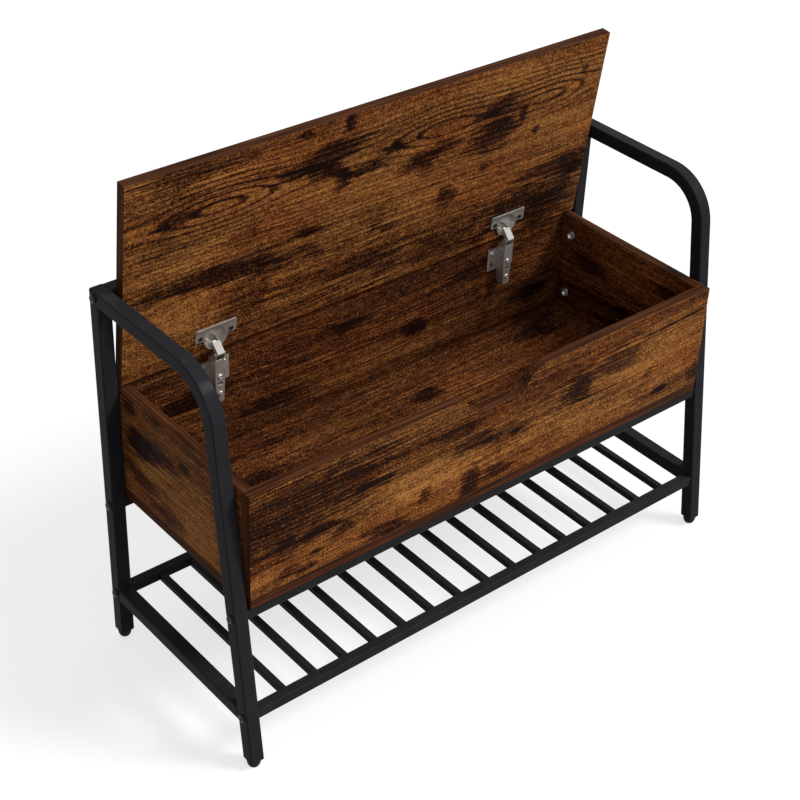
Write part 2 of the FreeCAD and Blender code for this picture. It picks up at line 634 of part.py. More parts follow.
arm_pins = []
plate_screws = []
adjust_screws = []
for name, x in hinges:
    # Pressed-steel link: a channel from the pin in the arm's tip to the slot on the cup's pin
    back = link_back_offset
    tip = link_length + link_eye
    slot_low = link_length - link_slot_travel
    bevel = link_eye / 2.0
    outline = [(-link_tail, -bevel), (-bevel, -link_tail), (bevel, -link_tail),
               (link_shoulder, -link_waist), (slot_low + bevel - link_shoulder, -link_waist),
               (slot_low, -link_eye), (tip - bevel, -link_eye), (tip, -bevel),
               (tip, back - link_back_bevel), (tip - link_back_bevel, back),
               (-link_tail + bevel, back), (-link_tail, back - bevel)]
    link = prism_x(link_outline(outline), (x - link_half_width, x + link_half_width))
    low = -link_eye - hole_overrun
    tail_out = -link_tail - hole_overrun
    hollow = [(tail_out, low), (tip + hole_overrun, low), (tip + hole_overrun, back - link_sheet),
              (tail_out, back - link_sheet)]
    cheek_gap = link_half_width - link_sheet
    link = link.cut(prism_x(link_outline(hollow), (x - cheek_gap, x + cheek_gap)))
    side_run = Vector(2.0 * link_half_width, 0, 0)
    left_x = x - link_half_width
    arm_hole = rod(Vector(left_x, arm_pin_y, arm_pin_z), Vector(left_x, arm_pin_y, arm_pin_z) + side_run,
                   arm_pin_diameter + 2.0 * pin_clearance)
    slot_radius = cup_pin_diameter / 2.0 + link_slot_side_room
    slot_box = prism_x(link_outline([(link_length, -slot_radius), (link_length, slot_radius),
                                     (slot_low, slot_radius), (slot_low, -slot_radius)]),
                       (left_x, left_x + 2.0 * link_half_width))
    slot_ends = []
    for along in (link_length, slot_low):
        y, z = link_outline([(along, 0.0)])[0]
        slot_ends.append(rod(Vector(left_x, y, z), Vector(left_x, y, z) + side_run, 2.0 * slot_radius))
    link = link.cut([arm_hole, slot_box] + slot_ends)
    save("hinge_link_" + name, link)

    # Hinge arm: a channel along the back panel with ears at its tip for the link's pin
    web_y = panel_face_y - arm_web_from_panel
    flange_y = panel_face_y - plate_thickness - arm_panel_gap
    arm_top = box_top - arm_top_below_box
    arm_bottom = arm_top - arm_length
    taper_z = arm_top - arm_taper_start
    front_outline = [(arm_outer_half, arm_top), (arm_outer_half, taper_z), (arm_tail_half_width, arm_bottom),
                     (-arm_tail_half_width, arm_bottom), (-arm_outer_half, taper_z),
                     (-arm_outer_half, arm_top)]
    corners = [Vector(x + across, web_y, z) for across, z in front_outline]
    arm = Part.Face(Part.makePolygon(corners + corners[:1])).extrude(Vector(0, flange_y - web_y, 0))
    ear_outline = [(web_y, arm_top - arm_sheet), (web_y, arm_top),
                   (arm_pin_y - arm_tip_radius, arm_pin_z), (arm_pin_y + arm_tip_radius, arm_pin_z),
                   (flange_y - arm_tip_radius, arm_top), (flange_y - arm_tip_radius, arm_top - arm_sheet)]
    ears = prism_x(ear_outline, (x - arm_outer_half, x + arm_outer_half))
    tip_start = Vector(x - arm_outer_half, arm_pin_y, arm_pin_z)
    tip_end = Vector(x + arm_outer_half, arm_pin_y, arm_pin_z)
    arm = arm.fuse([ears, rod(tip_start, tip_end, 2.0 * arm_tip_radius)])
    tail_inner = arm_tail_half_width - arm_sheet
    below_arm = arm_bottom - hole_overrun
    above_arm = arm_pin_z + tube
    inner_outline = [(arm_inner_half, above_arm), (arm_inner_half, taper_z), (tail_inner, below_arm),
                     (-tail_inner, below_arm), (-arm_inner_half, taper_z), (-arm_inner_half, above_arm)]
    corners = [Vector(x + across, web_y + arm_sheet, z) for across, z in inner_outline]
    arm_room = Part.Face(Part.makePolygon(corners + corners[:1])).extrude(Vector(0, arm_web_from_panel, 0))
    arm = arm.cut(arm_room)
    above_web = block((x - arm_inner_half, x + arm_inner_half), (arm_pin_y - tube, arm_pin_y + tube),
                      (arm_top, above_arm))
    arm = arm.cut([above_web, rod(tip_start, tip_end, arm_pin_diameter + pin_clearance)])

    # Mounting plate screwed to the back panel, with the saddle that the arm is clamped to
    plate_top = box_top - plate_top_below_box
    plate_front_y = panel_face_y - plate_thickness
    plate = block((x - plate_half_width, x + plate_half_width), (plate_front_y, panel_face_y),
                  (plate_top - plate_height, plate_top))
    saddle_half = tail_inner - saddle_side_room
    saddle_front_y = web_y + arm_sheet + saddle_front_room
    saddle = block((x - saddle_half, x + saddle_half), (saddle_front_y, panel_face_y),
                   (arm_bottom + arm_sheet, plate_top))
    plate = plate.fuse(saddle)
    for offset in (-plate_screw_spacing / 2.0, plate_screw_spacing / 2.0):
        seat = Vector(x + offset, plate_front_y, plate_top - plate_screw_below_top)
        tip = Vector(seat.x, panel_face_y + plate_screw_hold, seat.z)
        plate = plate.cut(rod(seat, tip, plate_screw_diameter + screw_clearance))
        back_panel = back_panel.cut(rod(seat, tip, plate_screw_diameter + screw_pilot_clearance))
        crown = seat - Vector(0, plate_screw_head_height, 0)
        screw = rod(crown, seat, plate_screw_head_diameter).fuse(rod(seat, tip, plate_screw_diameter))
        plate_screws.append(screw.removeSplitter())
        slot_half = (plate_slot_length - screw_diameter) / 2.0
        slot_mid = Vector(seat.x, plate_front_y, plate_top - plate_slot_below_top)
        through = Vector(0, plate_thickness, 0)
        slot = block((slot_mid.x - screw_diameter / 2.0, slot_mid.x + screw_diameter / 2.0),
                     (plate_front_y, panel_face_y), (slot_mid.z - slot_half, slot_mid.z + slot_half))
        for lift in (-slot_half, slot_half):
            end = slot_mid + Vector(0, 0, lift)
            slot = slot.fuse(rod(end, end + through, screw_diameter))
        plate = plate.cut(slot)

    # Two screws through the arm's web clamp it to the saddle
    for drop in adjust_screw_drops:
        seat = Vector(x, web_y, box_top - drop)
        tip = Vector(x, saddle_front_y + adjust_screw_hold, seat.z)
        arm = arm.cut(rod(seat, tip, adjust_screw_diameter + screw_clearance))
        plate = plate.cut(rod(seat, tip, adjust_screw_diameter + screw_pilot_clearance))
        crown = seat - Vector(0, adjust_screw_head_height, 0)
        screw = rod(crown, seat, adjust_screw_head_diameter).fuse(rod(seat, tip, adjust_screw_diameter))
        adjust_screws.append(screw.removeSplitter())
    # A slot across the arm's web runs on into the saddle
    slot_z = box_top - arm_slot_drop
    arm_slot = block((x - arm_slot_width / 2.0, x + arm_slot_width / 2.0),
                     (web_y - hole_overrun, saddle_front_y + adjust_screw_hold),
                     (slot_z - arm_slot_height / 2.0, slot_z + arm_slot_height / 2.0))
    arm = arm.cut(arm_slot)
    plate = plate.cut(arm_slot)
    arm_pins.append(rod(tip_start, tip_end, arm_pin_diameter))
    save("hinge_arm_" + name, arm.removeSplitter())
    save("hinge_plate_" + name, plate.removeSplitter())
save("hinge_arm_pins", arm_pins)
save("hinge_plate_screws", plate_screws)
save("hinge_adjust_screws", adjust_screws)

save("box_front_panel", front_panel)
save("box_back_panel", back_panel)
save("box_bottom_panel", bottom_panel)
for name, side in sides:
    save("box_%s_panel" % name, side_panels[name])
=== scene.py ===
import json
import math

import bmesh
import bpy
from mathutils import Matrix, Vector


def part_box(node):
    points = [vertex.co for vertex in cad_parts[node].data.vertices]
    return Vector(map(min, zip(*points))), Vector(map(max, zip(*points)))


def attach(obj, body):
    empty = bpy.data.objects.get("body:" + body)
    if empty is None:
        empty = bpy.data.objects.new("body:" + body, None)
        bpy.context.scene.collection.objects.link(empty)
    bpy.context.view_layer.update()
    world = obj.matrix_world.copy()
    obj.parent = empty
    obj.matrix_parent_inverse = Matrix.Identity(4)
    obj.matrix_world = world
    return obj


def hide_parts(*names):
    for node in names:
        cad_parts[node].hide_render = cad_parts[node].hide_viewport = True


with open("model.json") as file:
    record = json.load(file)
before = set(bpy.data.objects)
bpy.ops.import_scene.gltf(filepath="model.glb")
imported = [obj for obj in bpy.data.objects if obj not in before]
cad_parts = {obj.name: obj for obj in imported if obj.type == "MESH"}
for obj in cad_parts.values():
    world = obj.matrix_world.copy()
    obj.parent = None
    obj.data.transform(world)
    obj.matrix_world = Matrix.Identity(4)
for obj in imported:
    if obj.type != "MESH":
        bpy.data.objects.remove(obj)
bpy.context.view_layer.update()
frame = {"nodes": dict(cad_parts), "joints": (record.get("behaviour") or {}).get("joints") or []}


# The two arms. Each is one square steel tube that runs forward as an arm rest and is cold-bent down
# into the leaning front leg. The rear end is mitred for the rear leg, the foot end is sawn level.
arm_low, arm_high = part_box("arm_leg_left")
tube_width = arm_high.x - arm_low.x
tube_corner = 0.0021
leg_lean = math.radians(7.8)
arm_bend_radius = 0.065
arm_mid_z = arm_high.z - tube_width / 2
arm_mid_x = (arm_low.x + arm_high.x) / 2
back_y = arm_high.y
foot_end_z = arm_low.z
saw_allowance = 0.02
tube_end_easing = 0.0004


def front_leg_y(z):
    """Where the middle of the front leg stands at a height."""
    half_depth = tube_width / 2 / math.cos(leg_lean)
    return arm_low.y + half_depth + (z - foot_end_z) * math.tan(leg_lean)


def add_node(tree, kind, sockets=None, **settings):
    """One node of a tree. Each socket takes a plain value or another node's output."""
    node = tree.nodes.new(kind)
    for name, value in settings.items():
        setattr(node, name, value)
    for socket, value in (sockets or {}).items():
        if isinstance(value, bpy.types.NodeSocket):
            tree.links.new(value, node.inputs[socket])
        else:
            node.inputs[socket].default_value = value
    return node


def shaping_tree(name, inputs):
    """An empty Geometry Nodes tree with named inputs, and the identifier of each input."""
    tree = bpy.data.node_groups.new(name, "GeometryNodeTree")
    identifiers = {}
    for label, kind in inputs.items():
        socket = tree.interface.new_socket(label, in_out="INPUT", socket_type="NodeSocket" + kind)
        identifiers[label] = socket.identifier
    tree.interface.new_socket("Shape", in_out="OUTPUT", socket_type="NodeSocketGeometry")
    return tree, identifiers, add_node(tree, "NodeGroupInput").outputs


def close_tree(tree, shape, finish):
    """Ends a shaping tree: real copies, in one finish."""
    real = add_node(tree, "GeometryNodeRealizeInstances", {"Geometry": shape}).outputs[0]
    coated = add_node(tree, "GeometryNodeSetMaterial", {"Geometry": real, "Material": finish}).outputs[0]
    add_node(tree, "NodeGroupOutput", {"Shape": coated})


def new_piece(name, vertices=(), edges=(), faces=()):
    """A mesh object at the origin."""
    mesh = bpy.data.meshes.new(name)
    mesh.from_pydata([tuple(place) for place in vertices], edges, faces)
    piece = bpy.data.objects.new(name, mesh)
    bpy.context.scene.collection.objects.link(piece)
    return piece


def settle(piece):
    """Makes what the piece's modifiers give its plain mesh, and takes the modifiers off."""
    shaped = piece.evaluated_get(bpy.context.evaluated_depsgraph_get())
    mesh = bpy.data.meshes.new_from_object(shaped)
    piece.modifiers.clear()
    piece.data = mesh
    mesh.name = piece.name


def shape_by_tree(piece, tree, settings):
    """Runs a shaping tree on a piece, with its inputs set by identifier."""
    modifier = piece.modifiers.new("shape", "NODES")
    modifier.node_group = tree
    for identifier, value in settings.items():
        modifier[identifier] = value
    settle(piece)


def ease_edges(piece, width, from_angle=32.0, segments=2):
    """Rounds the sharp edges a little and keeps the flats flat in the shading."""
    bevel = piece.modifiers.new("eased_edges", "BEVEL")
    bevel.width = width
    bevel.segments = segments
    bevel.limit_method = "ANGLE"
    bevel.angle_limit = math.radians(from_angle)
    settle(piece)
    piece.data.shade_smooth()
    piece.data.set_sharp_from_angle(angle=math.radians(50.0))
    piece.modifiers.new("flat_flats", "WEIGHTED_NORMAL").keep_sharp = True
    settle(piece)


def saw_off(piece, at, facing):
    """Saws a tube through near a point and closes its end. What lies on the facing side falls away."""
    work = bmesh.new()
    work.from_mesh(piece.data)
    near = [corner for corner in work.verts if (corner.co - Vector(at)).length < 3 * tube_width]
    faces = {face for corner in near for face in corner.link_faces}
    edges = {edge for face in faces for edge in face.edges}
    corners = {corner for face in faces for corner in face.verts}
    sawn = list(faces) + list(edges) + list(corners)
    cut = bmesh.ops.bisect_plane(work, geom=sawn, plane_co=at, plane_no=facing, clear_outer=True)
    rim = [part for part in cut["geom_cut"] if isinstance(part, bmesh.types.BMEdge)]
    bmesh.ops.edgeloop_fill(work, edges=rim)
    bmesh.ops.recalc_face_normals(work, faces=work.faces)
    work.to_mesh(piece.data)
    work.free()


def mapped(tree, value, low, high, from_low=0.3, from_high=0.7):
    """A noise's value, brought to the range that a socket needs."""
    sockets = {"Value": value, "From Min": from_low, "From Max": from_high, "To Min": low, "To Max": high}
    return add_node(tree, "ShaderNodeMapRange", sockets).outputs[0]


def colour_steps(tree, share, steps):
    """A colour that runs through steps of (place, colour) as the share goes from 0 to 1."""
    node = add_node(tree, "ShaderNodeValToRGB", {"Fac": share})
    elements = node.color_ramp.elements
    elements.remove(elements[1])
    elements[0].position = steps[0][0]
    elements[0].color = (*steps[0][1], 1)
    for place, colour in steps[1:]:
        elements.new(place).color = (*colour, 1)
    return node.outputs["Color"]


def new_finish(name):
    """A material, with its tree, its surface shader and the piece's own coordinates."""
    material = bpy.data.materials.new(name)
    material.use_nodes = True
    tree = material.node_tree
    own_place = add_node(tree, "ShaderNodeTexCoord").outputs["Object"]
    return material, tree, tree.nodes["Principled BSDF"], own_place


def noise(tree, place, scale, detail=2.0, roughness=0.5):
    """Noise of one scale in all directions."""
    sockets = {"Vector": place, "Scale": scale, "Detail": detail, "Roughness": roughness}
    return add_node(tree, "ShaderNodeTexNoise", sockets).outputs[0]


def bump(tree, surface, height, strength, depth):
    """Relief on a surface shader."""
    sockets = {"Height": height, "Strength": strength, "Distance": depth}
    tree.links.new(add_node(tree, "ShaderNodeBump", sockets).outputs[0], surface.inputs["Normal"])


def dress(tree, surface, colour, roughness, specular=0.5, metal=0.0):
    """Gives a surface shader its colour and roughness, its gloss and its share of bare metal."""
    tree.links.new(colour, surface.inputs["Base Color"])
    tree.links.new(roughness, surface.inputs["Roughness"])
    surface.inputs["Specular IOR Level"].default_value = specular
    surface.inputs["Metallic"].default_value = metal


def powder_coat():
    """Satin black powder coat: a fine orange-peel skin, a little uneven in tint and sheen."""
    material, tree, skin, place = new_finish("black_powder_coat")
    cloud = noise(tree, place, 24.0, 4.0, 0.6)
    peel = noise(tree, place, 620.0, 2.0, 0.5)
    tints = ((0.3, (0.0150, 0.0143, 0.0168)), (0.7, (0.0205, 0.0196, 0.0228)))
    dress(tree, skin, colour_steps(tree, cloud, tints), mapped(tree, cloud, 0.19, 0.25), specular=0.014)
    bump(tree, skin, peel, 0.12, 0.0004)
    return material


def square_skin(tree, path, width, corner, segments):
    """The skin of a square tube with rounded corners along a path, closed at its ends."""
    square = add_node(tree, "GeometryNodeCurvePrimitiveQuadrilateral", {
        "Width": width, "Height": width}).outputs[0]
    section = add_node(tree, "GeometryNodeFilletCurve", {
        "Curve": square, "Count": segments, "Radius": corner}, mode="POLY").outputs[0]
    return add_node(tree, "GeometryNodeCurveToMesh", {
        "Curve": path, "Profile Curve": section, "Fill Caps": True}).outputs[0]


black_powder_coat = powder_coat()
bend_segments = 20
tube_corner_segments = 4
tube_tree, tube_input, tube_in = shaping_tree("square_tube_on_path", {
    "Path": "Geometry", "Width": "Float", "Corner Radius": "Float", "Bend Radius": "Float",
    "Finish": "Material"})
tube_path = add_node(tube_tree, "GeometryNodeMeshToCurve", {"Mesh": tube_in["Path"]}).outputs[0]
bent_path = add_node(tube_tree, "GeometryNodeFilletCurve", {
    "Curve": tube_path, "Count": bend_segments, "Radius": tube_in["Bend Radius"],
    "Limit Radius": True}, mode="POLY").outputs[0]
tube_skin = square_skin(tube_tree, bent_path, tube_in["Width"], tube_in["Corner Radius"],
                        tube_corner_segments)
close_tree(tube_tree, tube_skin, tube_in["Finish"])


def draw_tube(name, path, width, corner, bend_radius=0.0):
    """A square tube drawn along a path of straight runs with round bends."""
    runs = [(step, step + 1) for step in range(len(path) - 1)]
    piece = new_piece(name, path, runs)
    shape_by_tree(piece, tube_tree, {
        tube_input["Width"]: width, tube_input["Corner Radius"]: corner,
        tube_input["Bend Radius"]: bend_radius, tube_input["Finish"]: black_powder_coat})
    return piece


def fix_to(body, piece, slot, *cad_nodes):
    """The piece moves with a body and stands for these solids, which are hidden; the slot is not used."""
    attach(piece, body)
    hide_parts(*cad_nodes)


mitre_facing = Vector((0, 1, -1)).normalized()
for side, hand in ((-1, "left"), (1, "right")):
    x = -side * arm_mid_x
    low_end = foot_end_z - saw_allowance
    arm = draw_tube("arm_and_front_leg_" + hand, [
        (x, back_y + saw_allowance, arm_mid_z),
        (x, front_leg_y(arm_mid_z), arm_mid_z),
        (x, front_leg_y(low_end), low_end)], tube_width, tube_corner, arm_bend_radius)
    saw_off(arm, (x, back_y, arm_high.z), mitre_facing)
    saw_off(arm, (x, front_leg_y(foot_end_z), foot_end_z), (0, 0, -1))
    ease_edges(arm, tube_end_easing)
    fix_to("bench", arm, "black_steel", "arm_leg_" + hand)


# The rear legs and the lower side rails, of the same square tube. A rear leg meets its arm at the mitre,
# where it is welded and ground flush; the side rail is welded between the two legs near the floor.
rear_leg_y = back_y - tube_width / 2
side_rail_low, side_rail_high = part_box("lower_side_rail_left")
side_rail_z = (side_rail_low.z + side_rail_high.z) / 2
for side, hand in ((-1, "left"), (1, "right")):
    x = -side * arm_mid_x
    rear_leg = draw_tube("rear_leg_" + hand, [
        (x, rear_leg_y, foot_end_z), (x, rear_leg_y, arm_high.z + saw_allowance)], tube_width, tube_corner)
    saw_off(rear_leg, (x, back_y, arm_high.z), -mitre_facing)
    ease_edges(rear_leg, tube_end_easing)
    fix_to("bench", rear_leg, "black_steel", "rear_leg_" + hand)
    side_rail = draw_tube("lower_side_rail_of_frame_" + hand, [
        (x, front_leg_y(side_rail_z), side_rail_z), (x, rear_leg_y - tube_width / 2, side_rail_z)],
        tube_width, tube_corner)
    leg_back_face = (x, front_leg_y(side_rail_z) + tube_width / 2 / math.cos(leg_lean), side_rail_z)
    saw_off(side_rail, leg_back_face, (0, -math.cos(leg_lean), math.sin(leg_lean)))
    ease_edges(side_rail, tube_end_easing)
    fix_to("bench", side_rail, "black_steel", "lower_side_rail_" + hand)


# The five cross rails, which bolt between the two side frames: a thick one behind the open lid, two under
# the box and two that carry the shoe shelf. Square tube with square-cut ends, powder-coated.
for node in ("top_rear_rail", "box_rail_front", "box_rail_rear", "shelf_rail_front", "shelf_rail_rear"):
    low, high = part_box(node)
    middle = (low + high) / 2
    rail_width = high.z - low.z
    rail = draw_tube(node + "_tube", [(low.x, middle.y, middle.z), (high.x, middle.y, middle.z)],
                     rail_width, tube_corner * rail_width / tube_width)
    ease_edges(rail, tube_end_easing)
    fix_to("bench", rail, "black_steel", node)


# The shoe shelf: fifteen thin square tubes set side by side between the shelf rails and welded to them,
# so that the air gets through. The same black powder coat covers them and the welds.
slat_nodes = sorted(node for node in frame["nodes"] if node.startswith("shelf_slat"))
slat_low, slat_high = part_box(slat_nodes[0])
next_slat_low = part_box(slat_nodes[1])[0]
slat_width = slat_high.x - slat_low.x
slat_corner = 0.0012
slat_corner_segments = 3
slat_tree, slat_input, slat_in = shaping_tree("slats_in_a_row", {
    "Base": "Geometry", "Count": "Int", "First": "Vector", "Step": "Vector", "Length": "Float",
    "Width": "Float", "Corner Radius": "Float", "Finish": "Material"})
slat_end = add_node(slat_tree, "ShaderNodeCombineXYZ", {"Y": slat_in["Length"]}).outputs[0]
slat_line = add_node(slat_tree, "GeometryNodeCurvePrimitiveLine", {"End": slat_end}).outputs[0]
slat_skin = square_skin(slat_tree, slat_line, slat_in["Width"], slat_in["Corner Radius"],
                        slat_corner_segments)
slat_row = add_node(slat_tree, "GeometryNodeMeshLine", {
    "Count": slat_in["Count"], "Start Location": slat_in["First"], "Offset": slat_in["Step"]}).outputs[0]
slat_copies = add_node(slat_tree, "GeometryNodeInstanceOnPoints", {
    "Points": slat_row, "Instance": slat_skin}).outputs[0]
close_tree(slat_tree, slat_copies, slat_in["Finish"])

shelf_slats = new_piece("shelf_slats", [(0, 0, 0)])
shape_by_tree(shelf_slats, slat_tree, {
    slat_input["Count"]: len(slat_nodes),
    slat_input["First"]: ((slat_low.x + slat_high.x) / 2, slat_low.y, (slat_low.z + slat_high.z) / 2),
    slat_input["Step"]: (next_slat_low.x - slat_low.x, 0, 0),
    slat_input["Length"]: slat_high.y - slat_low.y,
    slat_input["Width"]: slat_width, slat_input["Corner Radius"]: slat_corner,
    slat_input["Finish"]: black_powder_coat})
ease_edges(shelf_slats, tube_end_easing)
fix_to("bench", shelf_slats, "black_steel", *slat_nodes)


# The four feet: moulded black plastic plugs pushed into the leg ends. What shows is a drum nearly as wide
# as the leg, rounded towards the floor, with a fine moulded grain.
foot_sides = 40


def turned_rings(name, rings, sides):
    """A turned shape: rings of (width at an angle, height), closed by a flat at both ends."""
    piece = new_piece(name)
    work = bmesh.new()
    loops = []
    for width_at, height in rings:
        angles = [2 * math.pi * turn / sides for turn in range(sides)]
        corners = [(width_at(a) * math.cos(a), width_at(a) * math.sin(a), height) for a in angles]
        loops.append([work.verts.new(corner) for corner in corners])
    for lower, upper in zip(loops, loops[1:]):
        for turn in range(sides):
            after = (turn + 1) % sides
            work.faces.new((lower[turn], lower[after], upper[after], upper[turn]))
    work.faces.new(reversed(loops[0]))
    work.faces.new(loops[-1])
    bmesh.ops.recalc_face_normals(work, faces=work.faces)
    work.to_mesh(piece.data)
    work.free()
    piece.data.shade_smooth()
    piece.data.set_sharp_from_angle(angle=math.radians(35.0))
    return piece


def round_ring(radius, height):
    """A round ring of a turned shape."""
    return (lambda angle: radius), height


def moulded_black():
    """Matt black moulded plastic with a fine spark-eroded grain."""
    material, tree, skin, place = new_finish("moulded_black_plastic")
    erosion = noise(tree, place, 900.0, 3.0, 0.6)
    scuff = noise(tree, place, 90.0, 4.0, 0.6)
    tints = ((0.3, (0.009, 0.009, 0.010)), (0.75, (0.018, 0.018, 0.019)))
    dress(tree, skin, colour_steps(tree, scuff, tints), mapped(tree, scuff, 0.52, 0.68), specular=0.08)
    bump(tree, skin, erosion, 0.2, 0.0003)
    return material


black_plastic = moulded_black()
foot_rounding = ((0.0058, 0.0), (0.0068, 0.0006), (0.0080, 0.0026), (0.0089, 0.0052), (0.0094, 0.0085))
for node in ("foot_front_left", "foot_front_right", "foot_rear_left", "foot_rear_right"):
    low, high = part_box(node)
    foot_y = front_leg_y(foot_end_z) if "front" in node else rear_leg_y
    rings = [round_ring(radius, height) for radius, height in foot_rounding]
    rings.append(round_ring(foot_rounding[-1][0], foot_end_z))
    foot = turned_rings(node + "_drum", rings, foot_sides)
    foot.data.transform(Matrix.Translation(((low.x + high.x) / 2, foot_y, low.z)))
    foot.data.materials.append(black_plastic)
    fix_to("bench", foot, "black_plastic", node)


# The frame bolts: black button heads with a hexagon socket, screwed through the legs into threaded blocks
# in the ends of the cross rails. One head shows on the outer face of a leg at each rail end.
head_tree, head_input, head_in = shaping_tree("heads_on_their_seats", {
    "Seats": "Geometry", "Head": "Object", "Turn Seed": "Int", "Finish": "Material"})
seat_facing = add_node(head_tree, "GeometryNodeInputNamedAttribute", {
    "Name": "facing"}, data_type="FLOAT_VECTOR").outputs[0]
seat_turn = add_node(head_tree, "FunctionNodeAlignRotationToVector", {
    "Vector": seat_facing}, axis="Z").outputs[0]
own_turn = add_node(head_tree, "FunctionNodeRandomValue", {
    "Max": 2 * math.pi, "Seed": head_in["Turn Seed"]}, data_type="FLOAT")
turn_axis = add_node(head_tree, "FunctionNodeAxisAngleToRotation", {
    "Axis": (0, 0, 1), "Angle": own_turn.outputs[1]}).outputs[0]
head_turn = add_node(head_tree, "FunctionNodeRotateRotation", {
    0: seat_turn, 1: turn_axis}, rotation_space="LOCAL").outputs[0]
head_shape = add_node(head_tree, "GeometryNodeObjectInfo", {
    "Object": head_in["Head"], "As Instance": True}).outputs["Geometry"]
head_copies = add_node(head_tree, "GeometryNodeInstanceOnPoints", {
    "Points": head_in["Seats"], "Instance": head_shape, "Rotation": head_turn}).outputs[0]
close_tree(head_tree, head_copies, head_in["Finish"])


def low_corner(points):
    """The low corner of the box round some points."""
    return tuple(round(min(point[axis] for point in points), 5) for axis in range(3))


def solids_in(node):
    """The corners of each separate solid of a CAD node, as a list of points for each."""
    work = bmesh.new()
    work.from_mesh(frame["nodes"][node].data)
    bmesh.ops.remove_doubles(work, verts=work.verts, dist=1e-6)
    left = set(work.verts)
    solids = []
    while left:
        found = [left.pop()]
        for corner in found:
            near = [edge.other_vert(corner) for edge in corner.link_edges]
            fresh = [other for other in near if other in left]
            left.difference_update(fresh)
            found.extend(fresh)
        solids.append([corner.co.copy() for corner in found])
    work.free()
    return sorted(solids, key=low_corner)


def head_seats(node, facing):
    """For each fastener in a CAD node: the middle of its head's outer face, and the way it faces."""
    seats = []
    for points in solids_in(node):
        middle = sum(points, Vector()) / len(points)
        way = facing(middle).normalized()
        across = way.orthogonal().normalized()
        upward = way.cross(across)
        seat = Vector()
        for axis in (across, upward):
            reach = [point.dot(axis) for point in points]
            seat += axis * (min(reach) + max(reach)) / 2
        seats.append((seat + way * max(point.dot(way) for point in points), way))
    return seats


def set_heads(name, seats, head, finish, seed):
    """One mesh with a head on every seat."""
    piece = new_piece(name, [seat for seat, way in seats])
    ways = piece.data.attributes.new("facing", "FLOAT_VECTOR", "POINT")
    ways.data.foreach_set("vector", [number for seat, way in seats for number in way])
    shape_by_tree(piece, head_tree, {
        head_input["Head"]: head, head_input["Turn Seed"]: seed, head_input["Finish"]: finish})
    bpy.data.objects.remove(head)
    return piece


def hexagon_ring(half_flats, height):
    """A ring of a hexagon socket."""
    sixth = math.pi / 3
    return (lambda angle: half_flats / math.cos(angle % sixth - sixth / 2)), height


bolt_radius = 0.006
bolt_crown_radius = 0.0031
bolt_mouth_radius = 0.0028
bolt_head_height = 0.0035
bolt_dome_height = 0.0030
bolt_dome_steps = 6
bolt_socket = 0.002
bolt_socket_depth = 0.0021
bolt_sides = 48


def button_head():
    """A button head with a hexagon socket. Its top lies at height 0."""
    dome = []
    for step in range(bolt_dome_steps + 1):
        turn = step / bolt_dome_steps * math.pi / 2
        radius = bolt_radius - (bolt_radius - bolt_crown_radius) * (1 - math.cos(turn))
        dome.append(round_ring(radius, bolt_dome_height * (math.sin(turn) - 1)))
    return turned_rings("button_head", [
        round_ring(bolt_radius * 0.97, -bolt_head_height), *dome, round_ring(bolt_mouth_radius, 0.0),
        hexagon_ring(bolt_socket * 1.06, -0.0001), hexagon_ring(bolt_socket, -0.0004),
        hexagon_ring(bolt_socket, -bolt_socket_depth),
        round_ring(0.0006, -bolt_socket_depth - 0.0004)], bolt_sides)


def blackened_steel():
    """Blackened bolt steel, smoother and shinier than the coat around it."""
    material, tree, skin, place = new_finish("blackened_bolt_steel")
    cloud = noise(tree, place, 260.0, 3.0, 0.6)
    tints = ((0.3, (0.009, 0.009, 0.010)), (0.7, (0.018, 0.018, 0.020)))
    dress(tree, skin, colour_steps(tree, cloud, tints), mapped(tree, cloud, 0.18, 0.28), specular=0.22)
    bump(tree, skin, cloud, 0.06, 0.0002)
    return material


bolt_black = blackened_steel()
frame_bolts = set_heads("frame_bolt_heads", head_seats("frame_bolts", lambda at: Vector((at.x, 0, 0))),
                        button_head(), bolt_black, 3)
fix_to("bench", frame_bolts, "black_bolts", "frame_bolts")


# The threaded blocks in the rail ends, the cam bolts and the screw shanks are zinc-plated and out of sight
# inside the tubes and boards. They stay as the frame has them.
def zinc_plate():
    """Bright zinc plate, faintly mottled."""
    material, tree, skin, place = new_finish("bright_zinc_plate")
    mottle = noise(tree, place, 180.0, 4.0, 0.65)
    tints = ((0.3, (0.50, 0.51, 0.53)), (0.7, (0.66, 0.67, 0.69)))
    dress(tree, skin, colour_steps(tree, mottle, tints), mapped(tree, mottle, 0.36, 0.50), metal=1.0)
    bump(tree, skin, mottle, 0.05, 0.0002)
    return material


zinc = zinc_plate()
for node in ("rail_end_blocks", "cam_bolts"):
    solid = frame["nodes"][node]
    solid.data.materials.clear()
    solid.data.materials.append(zinc)


# The five boards of the box. Pressed board with a printed rustic-brown laminate on both faces and a thin
# brown edge band ironed on all round. The front board has a finger notch; the sides stand between.
board_arris = 0.0007
board_gloss = 0.010
bore_sides = 64
mark_fades_at = 1.30
mark_full_at = 0.50


def maths(tree, operation, *values):
    """One step of arithmetic between node outputs and plain numbers."""
    return add_node(tree, "ShaderNodeMath", dict(enumerate(values)), operation=operation).outputs[0]


def vector_maths(tree, operation, *values):
    """One step of arithmetic between vectors."""
    return add_node(tree, "ShaderNodeVectorMath", dict(enumerate(values)), operation=operation).outputs


def grain(tree, place, stretch, offset, detail=2.0, roughness=0.5):
    """Noise drawn out along the grain. The stretch is counts per metre along, across and through."""
    shift = (offset * 3.7, offset * 5.3, offset * 1.9)
    drawn = vector_maths(tree, "MULTIPLY_ADD", place, stretch, shift)["Vector"]
    return noise(tree, drawn, 1.0, detail, roughness)


